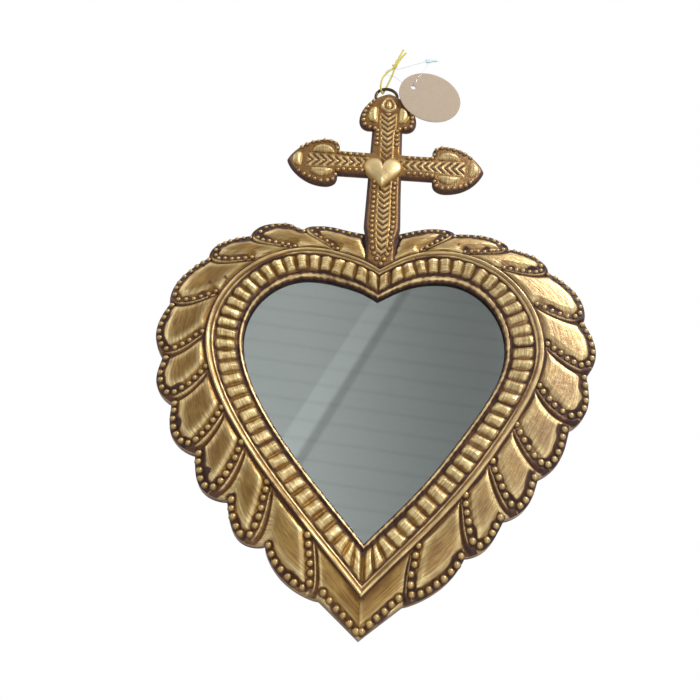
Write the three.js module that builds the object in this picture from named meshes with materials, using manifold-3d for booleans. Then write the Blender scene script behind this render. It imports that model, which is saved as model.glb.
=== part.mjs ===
// Wall mirror of embossed tin: a heart frame with flutes and overlapping leaves, and a cross above it.
// Millimetres, X to the right, Z up along the heart's axis. The wall plane is Y = 0, the front faces -Y.
// A height is a distance in front of the wall plane, so a point's y is minus its height.
import * as THREE from "three";
import Module from "manifold-3d";

const wasm = await Module();
wasm.setup();

// The opening in the sheet.
const openingHalfWidth = 88.5;
const openingTopZ = 54.5;
const openingTipZ = -129;
const openingNotchZ = 35.5;
const openingSideZ = 3;
const lobeCentre = 46;

// Widths of the bands round the opening, outwards.
const lipBand = { notch: 5, top: 5, side: 4, tip: 5.5 };
const fluteBand = { notch: 16.5, top: 12, side: 15.5, tip: 16.5 };
const ridgeBand = { notch: 5.5, top: 6, side: 6, tip: 9 };
const leafBand = { notch: 27.5, top: 16.7, side: 29.3, tip: 21.5 };
const leafSideRise = 11;

// Glass, card, back and what holds them.
const clearance = 0.3;
const glassThickness = 3;
const glassOverlap = 8;
const cardThickness = 1.5;
const backThickness = 0.4;
const backMargin = 0.4;
const backValleyFill = 2.4;
const tabThickness = 0.5;
const tabWidth = 12;
const tabReach = 7;
const tabPlaces = [0.13, 0.36, 0.6, 0.83];
const spaceUnderTabs = 1.1;
const rimSolderLeaves = [1, 4, 6, 9];
const rimSolderRadius = 1;

// Heights above the wall: back, tabs, card and glass lie under the lip's edge, the embossing rises from it.
const tabHeight = backThickness + spaceUnderTabs;
const cardBack = tabHeight + tabThickness + clearance;
const glassBack = cardBack + cardThickness + clearance;
const lipEdgeHeight = glassBack + glassThickness + clearance;
const lipHeight = lipEdgeHeight + 2.2;
const fluteInnerFloor = lipEdgeHeight + 1.2;
const fluteOuterFloor = fluteInnerFloor + 3.6;
const fluteRise = 2.2;
const ridgeHeight = fluteOuterFloor + 3.6;
const leafInnerHeight = ridgeHeight - 3.2;
const leafOuterHeight = leafInnerHeight - 2.2;
const leafCrown = 1.1;
const rimTopHeight = leafOuterHeight - 2.4;
const beadRise = 1.5;
const veinDepth = 1;

const sheetThickness = 0.5;
const flutesPerSide = 37;
const leafLengths = [44, 37, 33, 45, 40, 40, 39, 36, 34, 46];
const leafStart = 12.5;
const leafLean = 20;
const beadInset = 3.8;
const rimFlare = 0.8;
const scallopAtTop = 4;
const scallopAtTip = 8;

// The cross.
const crossTopZ = 228;
const crossingZ = crossTopZ - 75;
const crossHalfSpan = 78;
const stemHalfWidth = 11.5;
const stemFootHalfWidth = 12.9;
const stemInLeavesHalfWidth = 10.5;
const finialLength = 42;
const finialHalfWidth = 23;
const crossHeight = 12;
const crossFootHeight = ridgeHeight + 0.8;
const crossRimHeight = 5.6;
const crossEdgeDrop = 2.2;
const chevronPitch = 5.2;
const chevronRise = 0.9;
const chevronHalfWidth = 4.2;
const finialDomeRise = 2.6;
const smallHeartHalfWidth = 13;
const smallHeartLength = 27;
const smallHeartRise = 3;

// Hanging ring, cord and tag.
const ringRadius = 8.75;
const ringWire = 2.5;
const ringX = -2;
const ringBelowTop = 1;
const ringSolderRadius = 2.2;
const cordDiameter = 1.6;
const knotRadius = 2.5;
const filamentDiameter = 0.5;
const tagRadius = 25.4;
const tagThickness = 0.8;
const tagHoleRadius = 2;
const tagTilt = THREE.MathUtils.degToRad(9);
const tagX = 32.5;
const tagBelowTop = 5.4;
const tagInFront = 0.9;
const tagHoleOffset = new THREE.Vector2(-14, 7);

const group = new THREE.Group();

function addNode(name, geometry, colour) {
  const material = new THREE.MeshStandardMaterial({ color: colour });
  const mesh = new THREE.Mesh(geometry, material);
  mesh.name = name;
  group.add(mesh);
}

// Half of a heart outline, from the notch over the lobe and down the side to the tip.
function heartLine(line) {
  const { notch, top, side, tip, sideZ, notchAngle, tipAngle, belly } = line;
  const rise = Math.hypot(lobeCentre, top - notch);
  const fall = Math.hypot(side, sideZ - tip);
  const path = new THREE.CurvePath();
  const curve = (...points) => {
    const corners = points.map(([x, z]) => new THREE.Vector2(x, z));
    path.add(new THREE.CubicBezierCurve(...corners));
  };
  const notchHandle = [0.3 * rise * Math.cos(notchAngle), notch + 0.3 * rise * Math.sin(notchAngle)];
  const tipHandle = [0.3 * fall * Math.cos(tipAngle), tip + 0.3 * fall * Math.sin(tipAngle)];
  const round = 0.56;
  curve([0, notch], notchHandle, [0.5 * lobeCentre, top], [lobeCentre, top]);
  curve(
    [lobeCentre, top],
    [lobeCentre + round * (side - lobeCentre), top],
    [side, sideZ + round * (top - sideZ)],
    [side, sideZ],
  );
  curve([side, sideZ], [side, sideZ - belly * (sideZ - tip)], tipHandle, [0, tip]);
  path.arcLengthDivisions = 400;
  return path;
}

function grow(line, band, change = {}) {
  return {
    ...line,
    notch: line.notch + band.notch,
    top: line.top + band.top,
    side: line.side + band.side,
    tip: line.tip - band.tip,
    ...change,
  };
}

const openingSizes = {
  notch: openingNotchZ,
  top: openingTopZ,
  side: openingHalfWidth,
  tip: openingTipZ,
  sideZ: openingSideZ,
  notchAngle: THREE.MathUtils.degToRad(33),
  tipAngle: THREE.MathUtils.degToRad(47),
  belly: 0.33,
};
const fluteInnerSizes = grow(openingSizes, lipBand);
const fluteOuterSizes = grow(fluteInnerSizes, fluteBand);
const ridgeOuterSizes = grow(fluteOuterSizes, ridgeBand);
const leafOuterSizes = grow(ridgeOuterSizes, leafBand, {
  sideZ: openingSideZ + leafSideRise,
  notchAngle: THREE.MathUtils.degToRad(-4),
  tipAngle: THREE.MathUtils.degToRad(40),
  belly: 0.46,
});

const openingLine = heartLine(openingSizes);
const fluteInnerLine = heartLine(fluteInnerSizes);
const fluteOuterLine = heartLine(fluteOuterSizes);
const ridgeOuterLine = heartLine(ridgeOuterSizes);
const leafOuterLine = heartLine(leafOuterSizes);
const leafLineLength = leafOuterLine.getLength();

// A point between two outlines at a share s of their lengths, with the direction from one to the other.
function between(inner, outer, s, t) {
  const share = THREE.MathUtils.clamp(s, 0, 1);
  const a = inner.getPoint(share);
  const b = outer.getPoint(share);
  const out = b.clone().sub(a).normalize();
  return { point: a.lerp(b, t), out };
}

// The share of a line's length whose point lies nearest to another point.
function nearestShare(line, point, steps = 300) {
  let best = 0;
  let least = Infinity;
  for (let i = 0; i <= steps; i++) {
    const gap = line.getPoint(i / steps).distanceTo(point);
    if (gap < least) {
      best = i / steps;
      least = gap;
    }
  }
  return best;
}

// The flutes stand square to the outline; at the notch and the tip they fan out towards the middle line.
function squareShare(s) {
  const square = nearestShare(fluteInnerLine, fluteOuterLine.getPoint(s));
  const fan = THREE.MathUtils.smoothstep(s, 0, 0.08) * (1 - THREE.MathUtils.smoothstep(s, 0.9, 1));
  return THREE.MathUtils.lerp(s, square, fan);
}

// Where the leaves end along the outer outline, as shares of its length.
const leafEnds = [leafStart];
leafLengths.forEach((length) => leafEnds.push(leafEnds.at(-1) + length));
const leafShares = leafEnds.map((end) => end / leafLineLength);

// Which leaf a share lies on and how far along it, from 0 at its root to 1 at its rounded end.
function leafAt(s) {
  const index = leafShares.findLastIndex((end) => s >= end - 1e-6);
  if (index < 0 || index >= leafLengths.length) return { along: 0, onLeaf: false };
  const along = (s - leafShares[index]) / (leafShares[index + 1] - leafShares[index]);
  return { along: THREE.MathUtils.clamp(along, 0, 1), onLeaf: true };
}

function scallop(s, least = 0) {
  const { along, onLeaf } = leafAt(s);
  if (!onLeaf) return 0;
  const bulge = THREE.MathUtils.lerp(scallopAtTop, scallopAtTip, s);
  return Math.max(least, bulge * Math.max(0, Math.sin(Math.PI * along ** 1.35)) ** 0.8);
}

// The leaves sweep towards the tip: near the ridge a column lies further back along the outline.
function leanBack(s, t) {
  const lean = (leafLean / leafLineLength) * Math.min(1, s / 0.15, (1 - s) / 0.1);
  return s - lean * (1 - t) ** 2;
}

// One point of the leaf band: t is 0 at the ridge and 1 at the outer edge, inset is measured from the edge.
function leafPoint(s, t, inset = 0, least = 0) {
  const { point, out } = between(ridgeOuterLine, leafOuterLine, leanBack(s, t), t);
  return point.addScaledVector(out, scallop(s, least) * t - inset);
}

function leafHeight(s, t) {
  const base = THREE.MathUtils.lerp(leafInnerHeight, leafOuterHeight, t ** 1.4);
  const crown = leafCrown * Math.sin(Math.PI * t);
  const { along, onLeaf } = leafAt(s);
  const fade = Math.min(1, t / 0.3);
  if (!onLeaf) return base + crown;
  const vein = along < 0.06 ? -veinDepth : 0.7 * along;
  const hook = Math.max(0, 1 - Math.abs(along - 0.88) / 0.07) * beadRise;
  return base + crown + fade * (vein + hook);
}

// Column positions along half the outline, for the flutes, the leaves and the plain bands.
function fluteColumns(places) {
  const columns = [];
  for (let i = 0; i < flutesPerSide; i++) {
    places.forEach((place) => columns.push((i + place) / flutesPerSide));
  }
  columns.push(1);
  return columns;
}

function leafColumns(stem, perLeaf, tip) {
  const columns = [];
  for (let i = 0; i < stem; i++) columns.push((leafShares[0] * i) / stem);
  leafLengths.forEach((length, k) => {
    const share = leafShares[k + 1] - leafShares[k];
    for (let i = 0; i < perLeaf; i++) {
      const along = 1 - (1 - i / perLeaf) ** 1.4;
      columns.push(leafShares[k] + share * along);
    }
  });
  for (let i = 0; i <= tip; i++) columns.push(THREE.MathUtils.lerp(leafShares.at(-1), 1, i / tip));
  return columns;
}

const pillowColumns = fluteColumns([0, 0.2, 0.8]);
const plainColumns = fluteColumns([0, 0.5]);
const leafFineColumns = leafColumns(2, 8, 6);
const leafCoarseColumns = leafColumns(1, 4, 3);

// A closed ring of points: half of it from the columns, the other half mirrored.
function ring(columns, place) {
  const last = columns.length - 1;
  const right = columns.map((s, j) => ({ u: s / 2, ...place(s, j) }));
  const left = [];
  for (let j = last - 1; j > 0; j--) {
    left.push({ ...right[j], u: 1 - right[j].u, x: -right[j].x });
  }
  return [...right, ...left];
}

function lineRing(columns, inner, outer, t, height) {
  return ring(columns, (s, j) => {
    const { point } = between(inner, outer, s, t);
    return { x: point.x, z: point.y, h: height(s, j) };
  });
}

function leafRing(columns, t, inset, height, least = 0) {
  return ring(columns, (s) => {
    const point = leafPoint(s, t, inset, least);
    return { u: leanBack(s, t) / 2, x: point.x, z: point.y, h: height(s) };
  });
}

function fluteRing(columns, t, height) {
  return ring(columns, (s, j) => {
    const inner = fluteInnerLine.getPoint(squareShare(s));
    const point = inner.lerp(fluteOuterLine.getPoint(s), t);
    return { x: point.x, z: point.y, h: height(s, j) };
  });
}

// Gathers points and triangles and hands back a solid.
function solidBuilder() {
  const points = [];
  const triangles = [];
  return {
    addRow(row) {
      const start = points.length / 3;
      row.forEach((p) => points.push(p.x, -p.h, p.z));
      return row.map((p, i) => ({ u: p.u, id: start + i }));
    },
    triangle(a, b, c) {
      triangles.push(a.id, b.id, c.id);
    },
    solid() {
      const mesh = new wasm.Mesh({
        numProp: 3,
        vertProperties: new Float32Array(points),
        triVerts: new Uint32Array(triangles),
      });
      return new wasm.Manifold(mesh);
    },
  };
}

// Joins two rows of points by triangles, whatever their counts; closed rows also join end to start.
function stitch(builder, rowA, rowB, closed) {
  const a = closed ? [...rowA, { ...rowA[0], u: 1 }] : rowA;
  const b = closed ? [...rowB, { ...rowB[0], u: 1 }] : rowB;
  const matched = a.length === b.length;
  const middle = (row, k) => (matched ? 2 * k + 1 : row[k + 1].u + row[k].u);
  let i = 0;
  let j = 0;
  while (i < a.length - 1 || j < b.length - 1) {
    const nextA = i < a.length - 1 ? middle(a, i) : Infinity;
    const nextB = j < b.length - 1 ? middle(b, j) : Infinity;
    if (nextA <= nextB) {
      builder.triangle(a[i], a[i + 1], b[j]);
      i += 1;
    } else {
      builder.triangle(a[i], b[j + 1], b[j]);
      j += 1;
    }
  }
}

// The embossed heart: rings of points over the front, round the rim and back along the underside.
function heartShell() {
  const t = sheetThickness;
  const floor = (share) => THREE.MathUtils.lerp(fluteInnerFloor, fluteOuterFloor, share);
  const pillow = (share) => (s, j) => floor(share) + (j % 3 === 0 ? 0 : fluteRise);
  const pillowBelow = (share) => (s, j) => floor(share) - t + (j % 2 === 0 ? 0 : fluteRise - 0.3);
  const flat = (height) => () => height;
  const leaf = (share, lift = 0) => (s) => leafHeight(s, share) + lift;
  const rows = [
    lineRing(plainColumns, openingLine, fluteInnerLine, 0, flat(lipEdgeHeight)),
    lineRing(plainColumns, openingLine, fluteInnerLine, 0.5, flat(lipHeight)),
    fluteRing(pillowColumns, 0, flat(fluteInnerFloor)),
    fluteRing(pillowColumns, 0.2, pillow(0.2)),
    fluteRing(pillowColumns, 0.8, pillow(0.8)),
    fluteRing(pillowColumns, 1, flat(fluteOuterFloor)),
    lineRing(plainColumns, fluteOuterLine, ridgeOuterLine, 0.3, flat(ridgeHeight)),
    lineRing(plainColumns, fluteOuterLine, ridgeOuterLine, 0.7, flat(ridgeHeight - 0.8)),
    lineRing(plainColumns, fluteOuterLine, ridgeOuterLine, 1, flat(leafInnerHeight)),
    leafRing(leafFineColumns, 0.12, 0, leaf(0.12)),
    leafRing(leafFineColumns, 0.45, 0, leaf(0.45)),
    leafRing(leafFineColumns, 1, beadInset * 1.9, leaf(0.85)),
    leafRing(leafFineColumns, 1, beadInset, leaf(1, beadRise)),
    leafRing(leafFineColumns, 1, 0, flat(rimTopHeight)),
    leafRing(leafFineColumns, 1, -rimFlare, flat(backThickness + clearance)),
    leafRing(leafFineColumns, 1, t + 0.2 - rimFlare, flat(backThickness + clearance)),
    leafRing(leafCoarseColumns, 1, t + 0.9, flat(rimTopHeight - 1)),
    leafRing(leafCoarseColumns, 1, beadInset * 1.9, leaf(0.85, -t)),
    leafRing(leafCoarseColumns, 0.45, 0, leaf(0.45, -t)),
    lineRing(plainColumns, fluteOuterLine, ridgeOuterLine, 1, flat(leafInnerHeight - t)),
    lineRing(plainColumns, fluteOuterLine, ridgeOuterLine, 0.5, flat(ridgeHeight - 2 * t)),
    fluteRing(plainColumns, 1, flat(fluteOuterFloor - t)),
    fluteRing(plainColumns, 0.5, pillowBelow(0.5)),
    fluteRing(plainColumns, 0, flat(fluteInnerFloor - t)),
    lineRing(plainColumns, openingLine, fluteInnerLine, 0.25, flat(lipEdgeHeight)),
  ];
  const builder = solidBuilder();
  const ids = rows.map((row) => builder.addRow(row));
  ids.forEach((row, k) => stitch(builder, row, ids[(k + 1) % ids.length], true));
  return builder.solid();
}

// Half the width of a finial at a distance past the neck: a quick shoulder, then a leaf-shaped point.
function finialWidth(neckWidth, past) {
  const shoulder = 9;
  if (past < shoulder) {
    const share = Math.sqrt(1 - (1 - past / shoulder) ** 2);
    return THREE.MathUtils.lerp(Math.max(neckWidth, 0.7 * finialHalfWidth), finialHalfWidth, share);
  }
  const share = (past - shoulder) / (finialLength - shoulder);
  return finialHalfWidth * Math.max(0, 1 - share ** 1.9) ** 0.75;
}

// Raised forms on a finial, by the distance past its neck: a dome on each side and a crest near the point.
function finialDome(past, centre, halfLength) {
  const share = (past - centre) / halfLength;
  return finialDomeRise * Math.sqrt(Math.max(0, 1 - share ** 2));
}

// A bar of the cross runs along u. Its section is a shallow channel that is open to the wall.
function crossBar({ from, to, halfWidth, height, rim, past, place }) {
  const builder = solidBuilder();
  const t = sheetThickness;
  const steps = Math.round((to - from) / (chevronPitch / 2));
  const chevron = (k) => (k % 2 === 0 ? chevronRise : 0);
  const above = (u, k) => {
    const w = halfWidth(u);
    const h = height(u);
    const bead = Math.max(0.55 * w, w - beadInset);
    const band = Math.min(chevronHalfWidth, 0.4 * w);
    const beadTop = h - 0.6 + (k % 2 === 0 ? 1 : 0.4) * beadRise;
    const half = [
      [w + 0.4, rim(u)],
      [w, h - crossEdgeDrop],
      [bead, beadTop],
      [(band + bead) / 2, h - 1.2 + finialDome(past(u), 13, 7)],
      [band, h - chevronRise + chevron(k + 1)],
    ];
    const middle = [[0, h - chevronRise + chevron(k) + finialDome(past(u), 31, 5)]];
    const mirrored = half.map(([v, top]) => [-v, top]).reverse();
    return [...half, ...middle, ...mirrored];
  };
  const below = (u) => {
    const w = halfWidth(u);
    const h = height(u);
    const half = [
      [w + 0.4 - t, rim(u)],
      [w - t - 0.3, h - crossEdgeDrop - 1],
    ];
    const mirrored = half.map(([v, top]) => [-v, top]).reverse();
    return [...half, [0, h - 1.2 - t - chevronRise], ...mirrored];
  };
  const toRow = (u, profile) => {
    const last = profile.length - 1;
    const row = profile.map(([v, h], i) => ({ u: i / last, ...place(u, v), h }));
    return builder.addRow(row);
  };
  const flatten = (profile, h) => profile.map(([v]) => [v, h]);
  const endGap = 0.4;
  const upper = [toRow(from, flatten(above(from + endGap, 0), rim(from)))];
  const lower = [toRow(from + t, flatten(below(from + endGap), rim(from)))];
  for (let k = 0; k <= steps; k++) {
    const u = THREE.MathUtils.lerp(from + endGap, to - endGap, k / steps);
    upper.push(toRow(u, above(u, k)));
    const inner = THREE.MathUtils.lerp(from + endGap + t, to - endGap - t, k / steps);
    if (k % 2 === 0 || k === steps) lower.push(toRow(inner, below(inner)));
  }
  upper.push(toRow(to, flatten(above(to - endGap, 0), rim(to))));
  lower.push(toRow(to - t, flatten(below(to - endGap), rim(to))));
  for (let k = 1; k < upper.length; k++) stitch(builder, upper[k], upper[k - 1], false);
  for (let k = 1; k < lower.length; k++) stitch(builder, lower[k - 1], lower[k], false);
  const edge = (rows, end) => rows.map((row, k) => ({ ...row.at(end), u: k / (rows.length - 1) }));
  stitch(builder, edge(lower, 0), edge(upper, 0), false);
  stitch(builder, edge(upper, -1), edge(lower, -1), false);
  stitch(builder, upper[0], lower[0], false);
  stitch(builder, lower.at(-1), upper.at(-1), false);
  return builder.solid();
}

function verticalBar() {
  const footZ = ridgeOuterSizes.notch - 1;
  const leafTopZ = leafOuterSizes.notch;
  const neckZ = crossTopZ - finialLength;
  const halfWidth = (z) => {
    if (z > neckZ) return Math.max(1.5, finialWidth(stemHalfWidth, z - neckZ));
    if (z < leafTopZ) return Math.min(stemInLeavesHalfWidth, 2 + (z - footZ) / 0.65);
    return THREE.MathUtils.mapLinear(z, leafTopZ, neckZ, stemFootHalfWidth, stemHalfWidth);
  };
  const height = (z) => {
    const share = THREE.MathUtils.smoothstep(z, footZ, leafTopZ + 30);
    return THREE.MathUtils.lerp(crossFootHeight, crossHeight, share);
  };
  const rim = (z) => (z < leafTopZ ? leafInnerHeight - 1.8 : crossRimHeight);
  const past = (z) => z - neckZ;
  const place = (z, v) => ({ x: v, z });
  return crossBar({ from: footZ, to: crossTopZ, halfWidth, height, rim, past, place });
}

function horizontalBar() {
  const neckX = crossHalfSpan - finialLength;
  const past = (x) => Math.abs(x) - neckX;
  const halfWidth = (x) => {
    return past(x) > 0 ? Math.max(1.5, finialWidth(stemHalfWidth, past(x))) : stemHalfWidth;
  };
  const height = () => crossHeight - 0.2;
  const rim = () => crossRimHeight;
  const place = (x, v) => ({ x, z: crossingZ - v });
  return crossBar({ from: -crossHalfSpan, to: crossHalfSpan, halfWidth, height, rim, past, place });
}

// The smooth heart over the crossing, a closed dome.
function smallHeart() {
  const line = heartLineScaled();
  const builder = solidBuilder();
  const base = crossHeight - 3;
  const dome = [
    [1, base],
    [1, crossHeight - 0.4],
    [0.85, crossHeight + 0.6 * smallHeartRise],
    [0.5, crossHeight + smallHeartRise],
  ];
  const rings = dome.map(([scale, h]) => builder.addRow(line(scale, h)));
  rings.slice(1).forEach((row, k) => stitch(builder, row, rings[k], true));
  const [top] = builder.addRow([{ u: 0, x: 0, z: crossingZ - 1, h: crossHeight + smallHeartRise + 0.2 }]);
  const [bottom] = builder.addRow([{ u: 0, x: 0, z: crossingZ - 1, h: base }]);
  const first = rings[0];
  const last = rings.at(-1);
  last.forEach((p, i) => builder.triangle(top, last[(i + 1) % last.length], p));
  first.forEach((p, i) => builder.triangle(bottom, p, first[(i + 1) % first.length]));
  return builder.solid();
}

// The small heart's outline as closed rows of points, scaled about its middle.
function heartLineScaled() {
  const steps = 12;
  const scaleX = smallHeartHalfWidth / openingSizes.side;
  const scaleZ = smallHeartLength / (openingSizes.top - openingSizes.tip);
  const half = [];
  for (let i = 0; i <= steps; i++) {
    const p = openingLine.getPoint(i / steps);
    half.push([p.x * scaleX, (p.y - openingSizes.tip) * scaleZ]);
  }
  const bottomZ = crossingZ + 7.5 - smallHeartLength;
  return (scale, h) => {
    const right = half.map(([x, z], i) => {
      const fromMiddle = bottomZ + z - crossingZ + 1;
      return { u: i / steps / 2, x: x * scale, z: crossingZ - 1 + fromMiddle * scale, h };
    });
    const left = right.slice(1, -1).reverse().map((p) => ({ ...p, u: 1 - p.u, x: -p.x }));
    return [...right, ...left];
  };
}

// A solid from manifold-3d as three.js geometry.
function toGeometry(solid) {
  const mesh = solid.getMesh();
  const geometry = new THREE.BufferGeometry();
  const positions = new Float32Array(mesh.numVert * 3);
  for (let i = 0; i < mesh.numVert; i++) {
    const start = i * mesh.numProp;
    positions.set(mesh.vertProperties.subarray(start, start + 3), i * 3);
  }
  geometry.setAttribute("position", new THREE.BufferAttribute(positions, 3));
  geometry.setIndex(new THREE.BufferAttribute(new Uint32Array(mesh.triVerts), 1));
  geometry.computeVertexNormals();
  return geometry;
}

// A flat heart-shaped plate from its outline points, between two heights.
function plate(points, fromHeight, thickness) {
  const shape = new THREE.Shape(points.map((p) => new THREE.Vector2(p.x, p.z)));
  const geometry = new THREE.ExtrudeGeometry(shape, { depth: thickness, bevelEnabled: false });
  geometry.rotateX(Math.PI / 2);
  geometry.translate(0, -fromHeight, 0);
  return geometry;
}

// The heart outline of glass and card: the opening grown by the overlap behind the lip.
function glassOutline() {
  const overlap = { notch: glassOverlap * 1.2, top: glassOverlap, side: glassOverlap, tip: glassOverlap * 1.3 };
  const line = heartLine(grow(openingSizes, overlap));
  const steps = 26;
  const points = [];
  for (let i = 0; i <= steps; i++) {
    const p = line.getPoint(i / steps);
    points.push({ x: p.x, z: p.y });
  }
  const left = points.slice(1, -1).reverse().map((p) => ({ x: -p.x, z: p.z }));
  return { line, points: [...points, ...left] };
}

function addPlates() {
  const { points } = glassOutline();
  addNode("mirror_glass", plate(points, glassBack, glassThickness), 0xb8c4cc);
  addNode("backing_card", plate(points, cardBack, cardThickness), 0x9a8466);
  const outside = -rimFlare - backMargin;
  const edge = leafRing(leafColumns(1, 5, 3), 1, outside, () => 0, backValleyFill);
  addNode("back_sheet", plate(edge, 0, backThickness), 0x8c8c88);
}

// A tab is a bent strip: flat under the card, up past the glass and along the sheet's underside.
function tab(share, side) {
  const { line } = glassOutline();
  const point = line.getPoint(share);
  const tangent = line.getTangent(share);
  const out = new THREE.Vector3(-tangent.y, 0, tangent.x);
  const low = tabHeight;
  const top = fluteInnerFloor - sheetThickness - clearance - tabThickness;
  const slope = (fluteOuterFloor - fluteInnerFloor) / fluteBand.side;
  const inner = glassOverlap - lipBand.side;
  const foot = (r) => top + slope * Math.max(0, inner + r) * 0.9;
  const path = [
    [-tabReach, low],
    [1.2, low],
    [2.4, foot(2.4)],
    [5.5, foot(5.5)],
  ];
  const upper = path.map(([r, h]) => new THREE.Vector2(r, h + tabThickness));
  upper[1].x -= tabThickness;
  upper[2].x -= tabThickness;
  const lower = path.map(([r, h]) => new THREE.Vector2(r, h)).reverse();
  const shape = new THREE.Shape([...lower, ...upper]);
  const geometry = new THREE.ExtrudeGeometry(shape, { depth: tabWidth, bevelEnabled: false });
  geometry.translate(0, 0, -tabWidth / 2);
  const front = new THREE.Vector3(0, -1, 0);
  const along = new THREE.Vector3().crossVectors(out, front);
  const frame = new THREE.Matrix4().makeBasis(out, front, along);
  frame.setPosition(point.x, 0, point.y);
  geometry.applyMatrix4(frame);
  if (side < 0) {
    geometry.applyMatrix4(new THREE.Matrix4().makeScale(-1, 1, 1));
    flipFaces(geometry);
  }
  return geometry;
}

function flipFaces(geometry) {
  const positions = geometry.getAttribute("position");
  for (let i = 0; i < positions.count; i += 3) {
    const b = new THREE.Vector3().fromBufferAttribute(positions, i + 1);
    const c = new THREE.Vector3().fromBufferAttribute(positions, i + 2);
    positions.setXYZ(i + 1, c.x, c.y, c.z);
    positions.setXYZ(i + 2, b.x, b.y, b.z);
  }
}

function addTabs() {
  const places = tabPlaces.flatMap((share) => [[share, 1], [share, -1]]);
  places.forEach(([share, side], i) => addNode(`tab_${i + 1}`, tab(share, side), 0xa7a59c));
}

// A low dome of solder, round in plan, from a height towards the viewer.
function solderDome(radius, rise, steps = 8) {
  const profile = [
    [0, 0],
    [radius, 0],
    [0.75 * radius, 0.65 * rise],
    [0, rise],
  ];
  const points = profile.map(([r, h]) => new THREE.Vector2(r, h));
  const geometry = new THREE.LatheGeometry(points, steps);
  geometry.rotateX(Math.PI);
  return geometry;
}

function addRimSolder() {
  const places = rimSolderLeaves.flatMap((leaf) => [[leafShares[leaf], 1], [leafShares[leaf], -1]]);
  places.forEach(([share, side], i) => {
    const point = leafPoint(share, 1, -rimFlare - 2 * clearance - rimSolderRadius);
    const geometry = solderDome(rimSolderRadius, 1.2);
    geometry.translate(side * point.x, -backThickness - clearance, point.y);
    addNode(`rim_solder_${i + 1}`, geometry, 0xc9c9c4);
  });
}

// The ring lies behind the cross's head, just under the rim of its channel.
const ringZ = crossTopZ - ringBelowTop;
const ringHeight = crossRimHeight - clearance - ringWire / 2;

function addRing() {
  const ringGeometry = new THREE.TorusGeometry(ringRadius, ringWire / 2, 8, 20);
  ringGeometry.rotateX(Math.PI / 2);
  ringGeometry.translate(ringX, -ringHeight, ringZ);
  addNode("hanging_ring", ringGeometry, 0x6d5637);
  const from = ringHeight + ringWire / 2 + clearance;
  const to = crossHeight - crossEdgeDrop - 1 - clearance;
  [["left", -1], ["right", 1]].forEach(([name, side]) => {
    const angle = THREE.MathUtils.degToRad(28);
    const profile = [
      [0, 0],
      [ringSolderRadius, 0],
      [0.7 * ringSolderRadius, to - from],
      [0, to - from],
    ];
    const geometry = new THREE.LatheGeometry(profile.map(([r, h]) => new THREE.Vector2(r, h)), 10);
    geometry.rotateX(Math.PI);
    const x = ringX + side * ringRadius * Math.sin(angle);
    const z = ringZ - ringRadius * Math.cos(angle);
    geometry.translate(x, -from, z);
    addNode(`ring_solder_${name}`, geometry, 0xc9c9c4);
  });
}

// A round cord along points, as a swept section.
function cordTube(points, diameter, steps, sides = 8) {
  const section = [];
  for (let i = 0; i < sides; i++) {
    const angle = (i / sides) * Math.PI * 2;
    section.push(new THREE.Vector2(Math.cos(angle), Math.sin(angle)).multiplyScalar(diameter / 2));
  }
  const path = new THREE.CatmullRomCurve3(points.map(([x, h, z]) => new THREE.Vector3(x, -h, z)));
  const shape = new THREE.Shape(section);
  return new THREE.ExtrudeGeometry(shape, { steps, bevelEnabled: false, extrudePath: path });
}

const knotCentre = [3.4, ringHeight + 0.6, ringZ + 34.5];

function addCord() {
  const wrap = (ringWire + cordDiameter) / 2 + 1.5 * clearance;
  const [knotX, knotHeight, knotZ] = knotCentre;
  const wireX = -6.4;
  const wireZ = ringZ + Math.sqrt(ringRadius ** 2 - (wireX - ringX) ** 2);
  const loop = [
    [knotX - 1.6, knotHeight, knotZ - 2.6],
    [-3, ringHeight + 1.2, ringZ + 25.7],
    [-6.6, ringHeight + 2.1, ringZ + 16.9],
    [-7.3, ringHeight + wrap + 0.3, wireZ + 2.2],
    [wireX - 0.5, ringHeight + 0.72 * wrap, wireZ - 0.75 * wrap],
    [wireX + 0.4, ringHeight - 0.1, wireZ - wrap - 0.1],
    [wireX + 1.3, ringHeight - 0.75 * wrap, wireZ - 0.72 * wrap],
    [-3.6, ringHeight - wrap - 0.1, wireZ + 2.6],
    [0.4, ringHeight - 1.4, ringZ + 21.4],
    [knotX - 0.2, knotHeight - 0.5, knotZ - 3],
  ];
  addNode("cord_loop", cordTube(loop, cordDiameter, 34), 0xd9cf45);
  const knot = new THREE.SphereGeometry(knotRadius, 10, 7);
  knot.scale(0.8, 0.75, 1);
  knot.translate(knotX, -knotHeight, knotZ);
  addNode("cord_knot", knot, 0xc2b43a);
  const tails = { left: [0.1, 0.5, 9.9, knotZ + 18.5], right: [2.4, -0.5, 12.4, knotZ + 17.3] };
  Object.entries(tails).forEach(([name, [shift, lift, endX, endZ]]) => {
    const points = [
      [knotX + shift + 0.2, knotHeight + lift, knotZ + 2.9],
      [knotX + 3 + shift / 2, knotHeight + 1.8 * lift, knotZ + 9],
      [endX, knotHeight + 2 * lift, endZ],
    ];
    addNode(`cord_tail_${name}`, cordTube(points, cordDiameter, 8), 0xd9cf45);
  });
}

// The tag hangs in front of the head's right border, tilted so that its far side lies nearer the wall.
const tagCentreHeight = crossHeight + tagInFront - tagRadius * Math.sin(tagTilt) * 0.38;
const tagZ = crossTopZ - tagBelowTop;

// The height of the tilted tag's middle plane at a place across it.
function tagHeight(x) {
  return tagCentreHeight - (x - tagX) * Math.tan(tagTilt);
}

// The filament goes round both strands of the cord's loop here.
const hookHeight = ringHeight + 0.2;
const hookZ = ringZ + 27;

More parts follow.
